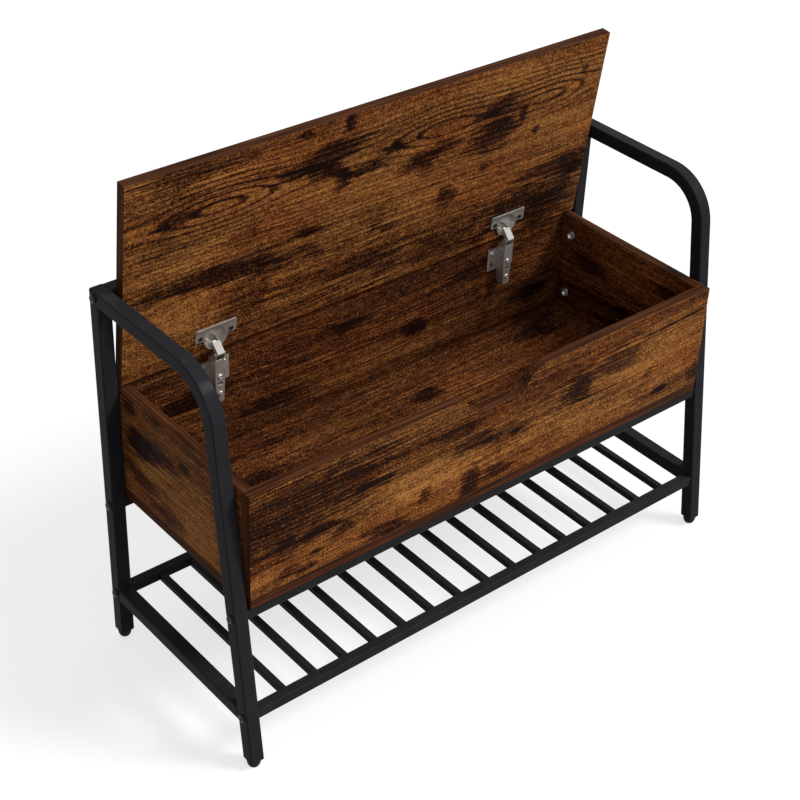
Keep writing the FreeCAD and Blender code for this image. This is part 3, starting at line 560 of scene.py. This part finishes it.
def stain_and_shade_group():
    """A node group for one mark on a board, a stain of the print or, on the lid, a patch of painted shade:
    a tilted oval with a ragged edge, and a smooth swell.
    """
    tree = bpy.data.node_groups.new("mark_in_the_print", "ShaderNodeTree")
    for label, kind in (("Place", "Vector"), ("Middle", "Vector"), ("Half Size", "Vector"),
                        ("Tilt", "Float"), ("Ragged", "Float")):
        tree.interface.new_socket(label, in_out="INPUT", socket_type="NodeSocket" + kind)
    for label in ("Mark", "Swell"):
        tree.interface.new_socket(label, in_out="OUTPUT", socket_type="NodeSocketFloat")
    given = add_node(tree, "NodeGroupInput").outputs
    offset = vector_maths(tree, "SUBTRACT", given["Place"], given["Middle"])["Vector"]
    turned = add_node(tree, "ShaderNodeVectorRotate", {
        "Vector": offset, "Angle": given["Tilt"]}, rotation_type="Z_AXIS", invert=True).outputs[0]
    shares = vector_maths(tree, "DIVIDE", turned, given["Half Size"])["Vector"]
    reach = vector_maths(tree, "LENGTH", shares)["Value"]
    mark = add_node(tree, "ShaderNodeMapRange", {
        "Value": maths(tree, "ADD", reach, given["Ragged"]), "From Min": mark_fades_at,
        "From Max": mark_full_at}, interpolation_type="SMOOTHSTEP").outputs[0]
    squared = maths(tree, "MULTIPLY", reach, reach)
    swell = maths(tree, "EXPONENT", maths(tree, "MULTIPLY", squared, -1.0))
    add_node(tree, "NodeGroupOutput", {"Mark": mark, "Swell": swell})
    return tree


stain_and_shade_mark = stain_and_shade_group()
mm = 0.001
through_all = 1000.0


def mark_at(tree, place, ragged, u, v, half_u, half_v, tilt):
    """One mark on a board, a stain of the print or, on the lid, a patch of painted shade, given in
    millimetres on the board and degrees.
    """
    node = add_node(tree, "ShaderNodeGroup", node_tree=stain_and_shade_mark)
    tree.links.new(place, node.inputs["Place"])
    node.inputs["Middle"].default_value = (u * mm, v * mm, 0)
    node.inputs["Half Size"].default_value = (half_u * mm, half_v * mm, through_all)
    node.inputs["Tilt"].default_value = math.radians(tilt)
    if ragged is not None:
        tree.links.new(ragged, node.inputs["Ragged"])
    return node.outputs


wood_steps = (
    (0.00, (0.0100, 0.0042, 0.0030)),
    (0.20, (0.0330, 0.0122, 0.0056)),
    (0.40, (0.0800, 0.0284, 0.0094)),
    (0.60, (0.1500, 0.0565, 0.0158)),
    (0.80, (0.2500, 0.1000, 0.0250)),
    (1.00, (0.3900, 0.1760, 0.0480)))
red_steps = [(share, (red, green * 0.84, blue * 0.82)) for share, (red, green, blue) in wood_steps]


def board_place(tree, placed, own_place):
    """The place on a board in the board's own frame: u along the grain, v across it, w outwards."""
    to_board = placed.inverted()
    return add_node(tree, "ShaderNodeMapping", {
        "Vector": own_place, "Location": to_board.translation,
        "Rotation": to_board.to_euler()}).outputs[0]


def shaded(tree, share, layer, strength):
    """The lightness of the print, raised and lowered by one layer of the grain."""
    return maths(tree, "MULTIPLY_ADD", layer, strength, maths(tree, "SUBTRACT", share, strength / 2))


def laminate(name, placed, seed, base, redden=0.0, marks=(), heart=None, eyes=(), line_zones=(),
             line_spacing=0.0062):
    """Rustic-brown printed laminate, as light as its base. Marks are (u, v, half length, half width, tilt,
    darkness),
    pale ones below 0: stains of the print, and on the lid also wide soft patches of painted shade. The
    growth lines ring the log's heart, given as (v, slope, depth below the face); an eye is where the heart
    comes near the face. Line zones are where the growth lines print strongest."""
    material, tree, surface, own_place = new_finish(name)
    place = board_place(tree, placed, own_place)
    parts = add_node(tree, "ShaderNodeSeparateXYZ", {"Vector": place}).outputs
    wander = maths(tree, "MULTIPLY_ADD", grain(tree, place, (1.5, 5, 4), seed + 1, 2.0), 0.05, -0.025)
    lifted = maths(tree, "ADD", parts["Y"], wander)
    along = add_node(tree, "ShaderNodeCombineXYZ", {
        "X": parts["X"], "Y": lifted, "Z": parts["Z"]}).outputs[0]

    tone = grain(tree, along, (2.6, 13, 6), seed + 2, 3.0, 0.55)
    patches = grain(tree, along, (7, 34, 12), seed + 3, 4.0, 0.62)
    streaks = grain(tree, along, (2.2, 95, 12), seed + 4, 3.0, 0.6)
    hairs = grain(tree, along, (9, 320, 40), seed + 5, 2.0, 0.6)
    specks = grain(tree, along, (420, 640, 200), seed + 6, 1.0, 0.5)
    mottle = grain(tree, along, (70, 150, 40), seed + 11, 3.0, 0.6)
    sawn = mapped(tree, grain(tree, along, (3.2, 12, 5), seed + 7, 2.0), 0.35, 1.25)
    share = shaded(tree, base, tone, 0.80)
    share = shaded(tree, share, streaks, 0.46)
    share = maths(tree, "MULTIPLY_ADD", maths(tree, "MULTIPLY_ADD", hairs, 1.1, -0.55), sawn, share)
    share = shaded(tree, share, specks, 1.6)
    share = shaded(tree, share, mottle, 0.7)
    share = maths(tree, "SUBTRACT", share, mapped(tree, patches, 0.0, 0.26, 0.55, 0.75))

    rings = lifted
    waver = 14.0
    if heart:
        waver = 5.0
        heart_v, slope, heart_depth = heart
        from_heart = maths(tree, "SUBTRACT", lifted, heart_v * mm)
        aside = maths(tree, "MULTIPLY_ADD", parts["X"], -slope, from_heart)
        sunk = heart_depth * mm
        for u, half_u, rise in eyes:
            swell = mark_at(tree, place, None, u, heart_v, half_u, through_all, 0)["Swell"]
            sunk = maths(tree, "MULTIPLY_ADD", swell, -rise * mm, sunk)
        aside_squared = maths(tree, "MULTIPLY", aside, aside)
        rings = maths(tree, "SQRT", maths(tree, "MULTIPLY_ADD", sunk, sunk, aside_squared))
    uneven = maths(tree, "MULTIPLY", grain(tree, along, (0.9, 24, 5), seed + 8, 2.0), waver)
    turns = maths(tree, "SINE", maths(tree, "MULTIPLY_ADD", rings, 2 * math.pi / line_spacing, uneven))
    lines = mapped(tree, turns, 0.0, 1.0, 0.30, 0.95)
    depth = mapped(tree, grain(tree, along, (2.4, 16, 5), seed + 9, 2.0), 0.0, 0.22)
    for u, v, half_u, half_v, tilt, strength in line_zones:
        zone = mark_at(tree, place, None, u, v, half_u, half_v, tilt)["Swell"]
        depth = maths(tree, "MULTIPLY_ADD", zone, strength, depth)
    share = maths(tree, "SUBTRACT", share, maths(tree, "MULTIPLY", lines, depth))

    ragged = maths(tree, "MULTIPLY_ADD", grain(tree, place, (26, 90, 20), seed, 4.0, 0.65), 1.8, -0.9)
    ragged = maths(tree, "ADD", ragged, maths(tree, "MULTIPLY_ADD", hairs, 1.2, -0.6))
    for u, v, half_u, half_v, tilt, darkness in marks:
        mark = mark_at(tree, place, ragged, u, v, half_u, half_v, tilt)["Mark"]
        share = maths(tree, "MULTIPLY_ADD", mark, -darkness, share)
    redness = mapped(tree, grain(tree, along, (3.4, 17, 7), seed + 10, 2.0), redden, 1.0, 0.40, 0.64)
    colour = add_node(tree, "ShaderNodeMix", {
        0: redness, 6: colour_steps(tree, share, wood_steps), 7: colour_steps(tree, share, red_steps)},
        data_type="RGBA").outputs[2]
    dress(tree, surface, colour, mapped(tree, hairs, 0.40, 0.52), board_gloss)
    bump(tree, surface, maths(tree, "ADD", specks, hairs), 0.10, 0.0003)
    return material


def edge_band(name, placed, stretch, seed):
    """The band ironed on a board's edge: plain reddish brown with a fine printed grain along it."""
    material, tree, surface, own_place = new_finish(name)
    place = board_place(tree, placed, own_place)
    cloud = grain(tree, place, tuple(count * 0.4 for count in stretch), seed, 3.0, 0.6)
    fibres = grain(tree, place, stretch, seed + 1, 3.0, 0.6)
    share = maths(tree, "MULTIPLY_ADD", fibres, 0.6, maths(tree, "MULTIPLY", cloud, 0.4))
    tints = ((0.32, (0.011, 0.0038, 0.0018)), (0.5, (0.050, 0.0178, 0.0078)),
             (0.66, (0.118, 0.048, 0.0195)))
    dress(tree, surface, colour_steps(tree, share, tints), mapped(tree, fibres, 0.38, 0.5), board_gloss)
    bump(tree, surface, fibres, 0.08, 0.0003)
    return material


def board_frame(middle, along, upward):
    """Where a board's own frame stands, with its origin on one of the board's faces."""
    outward = Vector(along).cross(Vector(upward))
    axes = Matrix((along, upward, outward)).transposed().to_4x4()
    return Matrix.Translation(middle) @ axes


def make_board(name, placed, outline, thickness, bores, finishes):
    """A board from its outline in its own frame. Its blind bores are (u, v, w of the bored face, radius,
    depth). The faces take the first finish, and the edges the second or third."""
    piece = new_piece(name)
    work = bmesh.new()
    rim = [work.verts.new((u, v, 0)) for u, v in outline]
    shown = work.faces.new(rim)
    pushed = bmesh.ops.extrude_face_region(work, geom=[shown])["geom"]
    for part in pushed:
        if isinstance(part, bmesh.types.BMVert):
            part.co.z -= thickness
    bmesh.ops.recalc_face_normals(work, faces=work.faces)
    work.to_mesh(piece.data)
    work.free()
    for u, v, w, radius, depth in bores:
        drill = turned_rings("drill", [round_ring(radius, -depth), round_ring(radius, depth)], bore_sides)
        drill.data.transform(Matrix.Translation((u, v, w)))
        bore = piece.modifiers.new("bore", "BOOLEAN")
        bore.object = drill
        bore.solver = "EXACT"
        settle(piece)
        bpy.data.objects.remove(drill)
    ease_edges(piece, board_arris)
    for finish in finishes:
        piece.data.materials.append(finish)
    for face in piece.data.polygons:
        slope = [abs(number) for number in face.normal]
        face.material_index = 0 if slope[2] > 0.9 else 1 if slope[1] > slope[0] else 2
    piece.data.transform(placed)
    return piece


def rectangle(half_length, low, high):
    """The outline of a plain board."""
    return [(-half_length, low), (half_length, low), (half_length, high), (-half_length, high)]


def banded(name, placed, seed, **print_of):
    """The laminate of a board and its two edge bands, along and across the grain."""
    along_edge = edge_band(name + "_band_along", placed, (9, 420, 420), seed + 20)
    across_edge = edge_band(name + "_band_across", placed, (420, 9, 420), seed + 23)
    return laminate(name + "_laminate", placed, seed, **print_of), along_edge, across_edge


front_low, front_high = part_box("box_front_panel")
panel_thickness = front_high.y - front_low.y
panel_height = front_high.z - front_low.z
box_half_length = front_high.x
notch_half = 0.084
notch_floor_half = 0.020
notch_depth = 0.034
notch_run = (notch_half - notch_floor_half) / 2
notch_rise = notch_depth / 2
notch_radius = (notch_run ** 2 + notch_rise ** 2) / (2 * notch_rise)
notch_steps = 14


def notched_outline():
    """The front board's outline, whose notch falls and rises in two equal tangent arcs on each side."""
    turn = math.asin(notch_run / notch_radius)
    shoulder = []
    for step in range(notch_steps + 1):
        angle = turn * step / notch_steps
        shoulder.append((notch_half - notch_radius * math.sin(angle),
                         panel_height - notch_radius * (1 - math.cos(angle))))
    hollow = []
    for step in range(notch_steps):
        angle = turn * (notch_steps - 1 - step) / notch_steps
        hollow.append((notch_floor_half + notch_radius * math.sin(angle),
                       panel_height - notch_depth + notch_radius * (1 - math.cos(angle))))
    right_side = shoulder + hollow
    left_side = [(-u, v) for u, v in reversed(right_side)]
    half = box_half_length
    return [(-half, 0), (half, 0), (half, panel_height), *right_side, *left_side, (-half, panel_height)]


front_placed = board_frame((0, front_low.y, front_low.z), (1, 0, 0), (0, 0, 1))
front_finishes = banded("front_board", front_placed, 11.0, base=0.585, line_spacing=0.0056, marks=(
    (-400, 120, 200, 70, 0, 0.30), (-20, 118, 250, 40, 0, 0.13), (-215, 97, 44, 8, -4, 0.42),
    (-72, 112, 44, 10, -3, 0.32), (-38, 80, 44, 13, 0, 0.39), (24, 76, 44, 14, -6, 0.19),
    (35, 68, 13, 4, 0, 0.51), (152, 88, 28, 25, 0, 0.46), (226, 106, 40, 24, 0, 0.22),
    (320, 20, 15, 6, 0, 0.61), (-44, 18, 18, 28, 0, 0.54),
    (6, 17, 32, 9, -3, 0.43), (-190, 12, 42, 10, -6, 0.43), (-298, 62, 32, 6, 0, 0.54),
    (-345, 67, 16, 7, 10, 0.42), (-316, 10, 18, 6, 0, 0.51), (-300, 29, 10, 4, 0, 0.46),
    (-344, 19, 20, 9, 0, 0.35), (-258, 44, 28, 8, 8, 0.35), (-206, 50, 44, 9, 4, 0.16),
    (-122, 36, 11, 8, 0, 0.51), (340, 128, 74, 2.2, 2.4, 0.61), (190, 134, 96, 4, 3, 0.19),
    (268, 38, 22, 12, 0, 0.18), (292, 56, 10, 16, 0, 0.14), (394, 22, 16, 22, 0, 0.32),
    (-130, 60, 90, 22, 3, -0.20), (330, 74, 90, 44, 0, -0.16), (-384, 26, 30, 12, 0, -0.12),
    (170, 30, 130, 24, 0, -0.14)),
    line_zones=((-330, 100, 190, 80, 0, 0.30),))
front_board = make_board("front_board", front_placed, notched_outline(), panel_thickness, (),
                         front_finishes)
fix_to("bench", front_board, "wood_board", "box_front_panel")

back_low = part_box("box_back_panel")[0]
back_placed = board_frame((0, back_low.y, back_low.z), (1, 0, 0), (0, 0, 1))
# The back board's print is set darker than the front board's: painted shade over the board inside the box.
back_finishes = banded("back_board", back_placed, 47.0, base=0.36, redden=0.1, marks=(
    (-290, 96, 52, 16, 2, 0.38), (-150, 40, 60, 12, -2, 0.30), (-30, 112, 48, 11, 0, 0.34),
    (95, 62, 22, 15, 0, 0.42), (210, 120, 70, 12, 3, 0.28), (320, 44, 40, 14, -2, 0.34),
    (40, 30, 150, 24, 0, -0.14), (-330, 40, 70, 30, 0, -0.12)))
back_board = make_board("back_board", back_placed, rectangle(box_half_length, 0, panel_height),
                        panel_thickness, (), back_finishes)
fix_to("bench", back_board, "wood_board", "box_back_panel")

cam_radius = 0.0075
cam_seats = head_seats("cam_locks", lambda at: Vector((-at.x, 0, 0)))
side_low, side_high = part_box("box_left_panel")
side_half_length = (side_high.y - side_low.y) / 2
side_mid_y = (side_high.y + side_low.y) / 2
side_outline = rectangle(side_half_length, 0, panel_height)
cam_bore_radius = cam_radius + 0.0001
cam_bore_depth = 0.0045


def cam_bores(side, inner_face):
    """The blind bores for the cam locks in the inner face of a side board."""
    return [(side_mid_y - seat.y, seat.z - side_low.z, inner_face, cam_bore_radius, cam_bore_depth)
            for seat, way in cam_seats if seat.x * side > 0]


left_placed = board_frame((side_low.x, side_mid_y, side_low.z), (0, -1, 0), (0, 0, 1))
left_finishes = banded("left_board", left_placed, 83.0, base=0.60, marks=(
    (-86, 94, 38, 21, 0, 0.80), (-38, 103, 48, 12, -2, 0.34), (12, 117, 13, 10, 0, 0.38),
    (-110, 144, 16, 9, -12, 0.36), (-84, 38, 34, 14, 6, 0.36), (-112, 58, 24, 22, 0, 0.24),
    (-30, 20, 36, 12, 4, 0.24), (-52, 154, 20, 6, 0, 0.26), (-10, 134, 140, 34, 0, 0.15),
    (42, 46, 64, 40, 0, -0.22)))
left_board = make_board("left_board", left_placed, side_outline, panel_thickness,
                        cam_bores(-1, -panel_thickness), left_finishes)
fix_to("bench", left_board, "wood_board", "box_left_panel")
right_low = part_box("box_right_panel")[0]
right_placed = board_frame((right_low.x, side_mid_y, right_low.z), (0, -1, 0), (0, 0, 1))
# The right board's print is set darker than the left board's: painted shade, as its inner face lies in
# shade inside the box; its stronger redness is the print's own.
right_finishes = banded("right_board", right_placed, 131.0, base=0.40, redden=0.8, marks=(
    (-70, 100, 40, 14, 2, 0.32), (40, 52, 46, 12, -3, 0.28), (88, 124, 26, 9, 0, 0.32),
    (-20, 24, 34, 9, 4, 0.26), (10, 120, 90, 30, 0, -0.10)))
right_board = make_board("right_board", right_placed, side_outline, panel_thickness,
                         cam_bores(1, 0), right_finishes)
fix_to("bench", right_board, "wood_board", "box_right_panel")

bottom_low, bottom_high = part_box("box_bottom_panel")
bottom_half_depth = (bottom_high.y - bottom_low.y) / 2
bottom_placed = board_frame((0, (bottom_low.y + bottom_high.y) / 2, bottom_high.z), (1, 0, 0), (0, 1, 0))
# The bottom board's print is set darker than the front board's: painted shade over the floor inside the
# box.
bottom_finishes = banded("bottom_board", bottom_placed, 167.0, base=0.38, redden=0.3, marks=(
    (-260, 40, 60, 18, 2, 0.32), (-90, -70, 50, 12, -3, 0.28), (60, 60, 26, 17, 0, 0.38),
    (200, -20, 72, 14, 2, 0.28), (310, 90, 44, 13, 0, 0.32)))
bottom_board = make_board("bottom_board", bottom_placed,
                          rectangle(box_half_length, -bottom_half_depth, bottom_half_depth),
                          bottom_high.z - bottom_low.z, (), bottom_finishes)
fix_to("bench", bottom_board, "wood_board", "box_bottom_panel")


# The fittings that hold the box together: cam locks let into the inner faces of the side boards, screws up
# through the bottom board into the walls, and black screws up through the box rails.
recess_sides = 96
screw_recess = 0.0021
head_proud = 0.0002
cam_shade_painted_radius = 0.0062
downward = (0, 0, -1)


def cross_ring(half_length, half_width, height):
    """A ring of a cross recess."""
    quarter = math.pi / 2

    def width_at(angle):
        near = abs((angle + quarter / 2) % quarter - quarter / 2)
        end = half_length / math.cos(near)
        if near < 1e-6:
            return end
        return min(end, half_width / math.sin(near))
    return width_at, height


def cam_face():
    """The face of a cam lock: a bright rim, a sunk middle that is later painted dark as shade in its
    recess, and a cross slot. Its top is at height 0.
    """
    return turned_rings("cam_face", [
        round_ring(cam_radius, -0.004), round_ring(cam_radius, -0.0003),
        round_ring(cam_radius - 0.0003, 0.0), round_ring(0.0068, 0.0), round_ring(0.0064, -0.0003),
        round_ring(0.0050, -0.0022), round_ring(0.0046, -0.0024), cross_ring(0.0043, 0.0018, -0.0025),
        cross_ring(0.0040, 0.0015, -0.0038), round_ring(0.0004, -0.0039)], recess_sides)


def cross_head(radius, height):
    """A low pan head with a cross recess. Its top lies at height 0."""
    return turned_rings("cross_head", [
        round_ring(radius * 0.96, -height), round_ring(radius, -height * 0.82),
        round_ring(radius * 0.985, -height * 0.5), round_ring(radius * 0.90, -height * 0.2),
        round_ring(radius * 0.74, -height * 0.03), round_ring(screw_recess * 1.16, 0.0),
        cross_ring(screw_recess, screw_recess * 0.30, -0.00006),
        cross_ring(screw_recess * 0.92, screw_recess * 0.26, -0.0003),
        cross_ring(screw_recess * 0.6, screw_recess * 0.2, -height * 0.85),
        round_ring(screw_recess * 0.08, -height * 0.95)], recess_sides)


def screw_heads(name, node, facing, radius, height, finish, seed):
    """A pan head on each screw of a CAD node, all facing one way."""
    seats = head_seats(node, lambda at: Vector(facing))
    return set_heads(name, seats, cross_head(radius, height), finish, seed)


cam_faces = set_heads("cam_lock_faces", [(seat + way * head_proud, way) for seat, way in cam_seats],
                      cam_face(), zinc, 5)
# The sunk middle of each cam lock takes the black bolt steel: painted shade in the recess.
cam_faces.data.materials.append(bolt_black)
for face in cam_faces.data.polygons:
    from_axis = min(math.hypot(face.center.y - seat.y, face.center.z - seat.z) for seat, way in cam_seats)
    if from_axis < cam_shade_painted_radius:
        face.material_index = 1
fix_to("bench", cam_faces, "zinc", "cam_locks")
under_screws = screw_heads("bottom_screw_heads", "bottom_board_screws", downward, 0.0038, 0.0012, zinc, 7)
under_screws.data.transform(Matrix.Translation(Vector(downward) * head_proud))
fix_to("bench", under_screws, "zinc", "bottom_board_screws")
rail_screws = screw_heads("box_rail_screw_heads", "box_rail_screws", downward, 0.004, 0.0022, bolt_black, 9)
fix_to("bench", rail_screws, "black_bolts", "box_rail_screws")


# The lid: one board of the same laminate and banding, hung at its rear edge and held open by its hinges.
# Two blind bores of 35 mm near the rear edge take the hinge cups.
lid_joint = next(joint for joint in frame["joints"] if joint["name"] == "lid_hinge")
lid_pivot = Vector(lid_joint["pos_m"])
lid_swing = Matrix.Rotation(-math.radians(lid_joint["range_deg"][1]), 4, "X")
lid_opened = Matrix.Translation(lid_pivot) @ lid_swing @ Matrix.Translation(-lid_pivot)
lid_shut = [lid_opened.inverted() @ corner.co for corner in frame["nodes"]["lid_panel"].data.vertices]
lid_half_length = max(corner.x for corner in lid_shut)
lid_rear_y = max(corner.y for corner in lid_shut)
lid_depth = lid_rear_y - min(corner.y for corner in lid_shut)
lid_under_z = min(corner.z for corner in lid_shut)
lid_thickness = max(corner.z for corner in lid_shut) - lid_under_z
cup_from_edge = 0.0215
cup_radius = 0.0175
cup_depth = 0.0118
cup_low, cup_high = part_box("hinge_cup_right")
hinge_x = (cup_low.x + cup_high.x) / 2
lid_placed = lid_opened @ board_frame((0, lid_rear_y, lid_under_z), (1, 0, 0), (0, -1, 0))
# The wide soft marks low on the opened lid, with half lengths of 120 mm and more and v below 70 mm, are
# painted shade over its lower part, strongest at the lower right; the smaller marks are stains of the
# print.
lid_finishes = banded("lid_board", lid_placed, 29.0, base=0.66, line_spacing=0.0072, marks=(
    (-96, 246, 52, 17, 8, 0.50), (-146, 235, 28, 8, 0, 0.45), (-92, 224, 40, 12, -14, 0.43),
    (-68, 200, 15, 19, 0, 0.43), (-32, 206, 40, 9, 8, 0.53), (-64, 287, 10, 17, 8, 0.53),
    (-132, 291, 13, 6, 0, 0.41), (20, 224, 30, 6, 0, 0.50), (72, 192, 38, 13, 8, 0.47),
    (112, 198, 32, 6, 4, 0.25), (78, 174, 14, 15, 0, 0.19), (200, 190, 50, 24, 8, 0.53),
    (206, 235, 38, 13, 14, 0.41), (250, 210, 8, 11, 0, 0.41), (100, 208, 14, 6, 20, 0.19),
    (282, 176, 7, 7, -30, 0.47), (188, 139, 9, 6, 0, 0.35), (-122, 138, 25, 6, 0, 0.54),
    (118, 126, 15, 9, 0, 0.35), (126, 108, 22, 14, 10, 0.38), (-240, 117, 126, 16, -3, 0.41),
    (-90, 108, 94, 10, -4, 0.21), (12, 101, 30, 8, -4, 0.38), (320, 96, 74, 11, 6, 0.38),
    (372, 86, 30, 13, 0, 0.45), (356, 112, 36, 5, 0, 0.35), (-324, 224, 32, 11, 4, 0.38),
    (-290, 284, 96, 12, 2, 0.23), (-216, 166, 40, 14, 0, 0.21), (-214, 66, 40, 32, 0, 0.21),
    (16, 40, 40, 26, 0, 0.19), (-70, 60, 120, 34, 0, 0.11), (310, 34, 120, 40, 0, 0.41),
    (361, 251, 10, 9, 0, 0.45), (140, 30, 120, 26, 0, 0.14), (-370, 160, 40, 60, 0, 0.07),
    (110, 58, 280, 66, 0, 0.15), (-150, 50, 170, 60, 0, 0.12), (-350, 262, 90, 40, 0, 0.12),
    (330, 200, 96, 56, 0, -0.08), (-330, 70, 60, 34, 0, -0.10), (20, 160, 80, 26, 0, -0.08)),
    heart=(228, 0.017, 26), eyes=((-260, 78, 15), (105, 80, 18), (215, 48, 9), (300, 62, 15)),
    line_zones=((-260, 226, 150, 60, 0, 0.42), (150, 232, 130, 34, 0, 0.42),
                (310, 240, 110, 36, 0, 0.44)))
lid_bores = [(x, cup_from_edge, 0, cup_radius, cup_depth) for x in (-hinge_x, hinge_x)]
lid_board = make_board("lid_board", lid_placed, rectangle(lid_half_length, 0, lid_depth), lid_thickness,
                       lid_bores, lid_finishes)
fix_to("lid", lid_board, "wood_board", "lid_panel")


# The two cup hinges: a pressed cup with screw wings in the lid, a bright link, and a channelled arm held by
# clamp screws on a plate inside the back board. Nickel-plated steel.
def nickel_plate(name, dull, bright, metal, roughness):
    """Nickel plate on pressed steel, with faint drawing lines and handling haze."""
    material, tree, skin, place = new_finish(name)
    haze = noise(tree, place, 140.0, 4.0, 0.6)
    drawn = grain(tree, place, (90.0, 900.0, 900.0), 2.0, 2.0)
    colour = colour_steps(tree, haze, ((0.3, dull), (0.7, bright)))
    dress(tree, skin, colour, mapped(tree, haze, roughness - 0.05, roughness + 0.05), metal=metal)
    bump(tree, skin, drawn, 0.04, 0.0002)
    return material


nickel = nickel_plate("nickel_plate", (0.56, 0.52, 0.49), (0.72, 0.68, 0.64), 0.78, 0.34)
# The link takes a darker, less metallic and rougher copy of the nickel: painted shade against the lamp's
# glare on its face.
shade_painted_nickel = nickel_plate("dull_nickel_plate", (0.27, 0.265, 0.24), (0.35, 0.34, 0.31), 0.30, 0.58)
sheet_easing = 0.00022
pin_easing = 0.0001


def pressed(node, body, easing, finish):
    """A pressed steel piece with its edges eased as the press and the plating leave them."""
    piece = new_piece(node + "_pressing")
    work = bmesh.new()
    work.from_mesh(frame["nodes"][node].data)
    bmesh.ops.remove_doubles(work, verts=work.verts, dist=2e-6)
    bmesh.ops.dissolve_limit(work, angle_limit=math.radians(0.5), verts=work.verts, edges=work.edges)
    work.to_mesh(piece.data)
    work.free()
    ease_edges(piece, easing, 40.0)
    piece.data.materials.clear()
    piece.data.materials.append(finish)
    fix_to(body, piece, "nickel", node)


for hand in ("left", "right"):
    pressed("hinge_cup_" + hand, "lid", sheet_easing, nickel)
    pressed("hinge_link_" + hand, "link_" + hand, sheet_easing, shade_painted_nickel)
    pressed("hinge_arm_" + hand, "bench", sheet_easing, nickel)
    pressed("hinge_plate_" + hand, "bench", sheet_easing, nickel)
pressed("hinge_cup_pins", "lid", pin_easing, nickel)
pressed("hinge_arm_pins", "bench", pin_easing, nickel)

lid_inward = lid_placed.to_3x3() @ Vector((0, 0, 1))
forward = (0, -1, 0)
# The cup screws take the black bolt steel: painted shade over plated heads that sit sunk in the wings.
cup_screws = screw_heads("hinge_cup_screw_heads", "hinge_cup_screws", lid_inward, 0.00325, 0.0016,
                         bolt_black, 11)
fix_to("lid", cup_screws, "black_bolts", "hinge_cup_screws")
plate_screws = screw_heads("hinge_plate_screw_heads", "hinge_plate_screws", forward, 0.00375, 0.002,
                           nickel, 13)
fix_to("bench", plate_screws, "nickel", "hinge_plate_screws")
clamp_screws = screw_heads("hinge_clamp_screw_heads", "hinge_adjust_screws", forward, 0.0035, 0.0018,
                           nickel, 15)
fix_to("bench", clamp_screws, "nickel", "hinge_adjust_screws")


# The stage: a plain white floor under soft light from above and in front, and a white surround that the
# steel and nickel mirror. The floor keeps the bench's soft shadow.
floor_half = 14.0
floor_glow = 0.70
floor_grey = 0.28
corners = [(-floor_half, -floor_half, 0), (floor_half, -floor_half, 0),
           (floor_half, floor_half, 0), (-floor_half, floor_half, 0)]
floor = new_piece("studio_floor", corners, (), [(0, 1, 2, 3)])
floor_paint, floor_nodes, floor_surface = new_finish("white_floor")[:3]
floor_surface.inputs["Base Color"].default_value = (floor_grey, floor_grey, floor_grey, 1)
floor_surface.inputs["Roughness"].default_value = 0.9
floor_surface.inputs["Specular IOR Level"].default_value = 0.0
ray = add_node(floor_nodes, "ShaderNodeLightPath").outputs
seen = maths(floor_nodes, "MAXIMUM", ray["Is Camera Ray"], ray["Is Glossy Ray"])
glow_strength = maths(floor_nodes, "MULTIPLY", seen, floor_glow)
glow = add_node(floor_nodes, "ShaderNodeEmission", {"Strength": glow_strength})
lit = add_node(floor_nodes, "ShaderNodeAddShader", {0: floor_surface.outputs[0], 1: glow.outputs[0]})
floor_nodes.links.new(lit.outputs[0], floor_nodes.nodes["Material Output"].inputs["Surface"])
floor.data.materials.append(floor_paint)

surround = bpy.data.worlds.new("white_surround")
bpy.context.scene.world = surround
surround.use_nodes = True
sky = surround.node_tree
dim_side = 0.05
bright_side = 0.95
bright_from = Vector((0.62, -0.50, 0.60)).normalized()
sky_ray = add_node(sky, "ShaderNodeLightPath").outputs
sky_mirrored = maths(sky, "MAXIMUM", sky_ray["Is Glossy Ray"], sky_ray["Is Transmission Ray"])
sky_seen = maths(sky, "MAXIMUM", sky_ray["Is Camera Ray"], sky_mirrored)
sky_way = add_node(sky, "ShaderNodeTexCoord").outputs["Generated"]
sky_facing = vector_maths(sky, "DOT_PRODUCT", sky_way, bright_from)["Value"]
sky_light = mapped(sky, sky_facing, dim_side, bright_side, -1.0, 1.0)
sky_strength = add_node(sky, "ShaderNodeMix", {
    0: sky_seen, 2: sky_light, 3: 1.0}, data_type="FLOAT").outputs[0]
sky.nodes["Background"].inputs["Color"].default_value = (1, 1, 1, 1)
sky.links.new(sky_strength, sky.nodes["Background"].inputs["Strength"])

key_light = bpy.data.lights.new("soft_key", "SUN")
key_light.energy = 2.75
key_light.angle = math.radians(18.0)
key = bpy.data.objects.new("soft_key", key_light)
key_from = Vector((0.50, -0.47, 0.73))
key.rotation_euler = (-key_from).to_track_quat("-Z", "Y").to_euler()
bpy.context.scene.collection.objects.link(key)


# The camera, at the place, aim, roll and focal length that the photograph's straight edges give. It stands
# in front of the bench and to its left, and looks down into the open box.
camera_place = Vector((-1.29337, -1.415815, 1.64510))
camera_aim = Vector((0.0222, 0.090885, 0.2541))
camera_roll = math.radians(2.60)
sight = (camera_aim - camera_place).normalized()
level_right = sight.cross(Vector((0, 0, 1))).normalized()
level_up = level_right.cross(sight)
camera_right = level_right * math.cos(camera_roll) + level_up * math.sin(camera_roll)
camera_up = camera_right.cross(sight)
lens = bpy.data.cameras.new("camera")
lens.lens = 76.46
lens.sensor_width = 36.0
camera = bpy.data.objects.new("camera", lens)
camera.matrix_world = Matrix.Translation(camera_place) @ Matrix(
    (camera_right, camera_up, -sight)).transposed().to_4x4()
bpy.context.scene.collection.objects.link(camera)
bpy.context.scene.camera = camera
bpy.context.scene.view_settings.view_transform = "Standard"
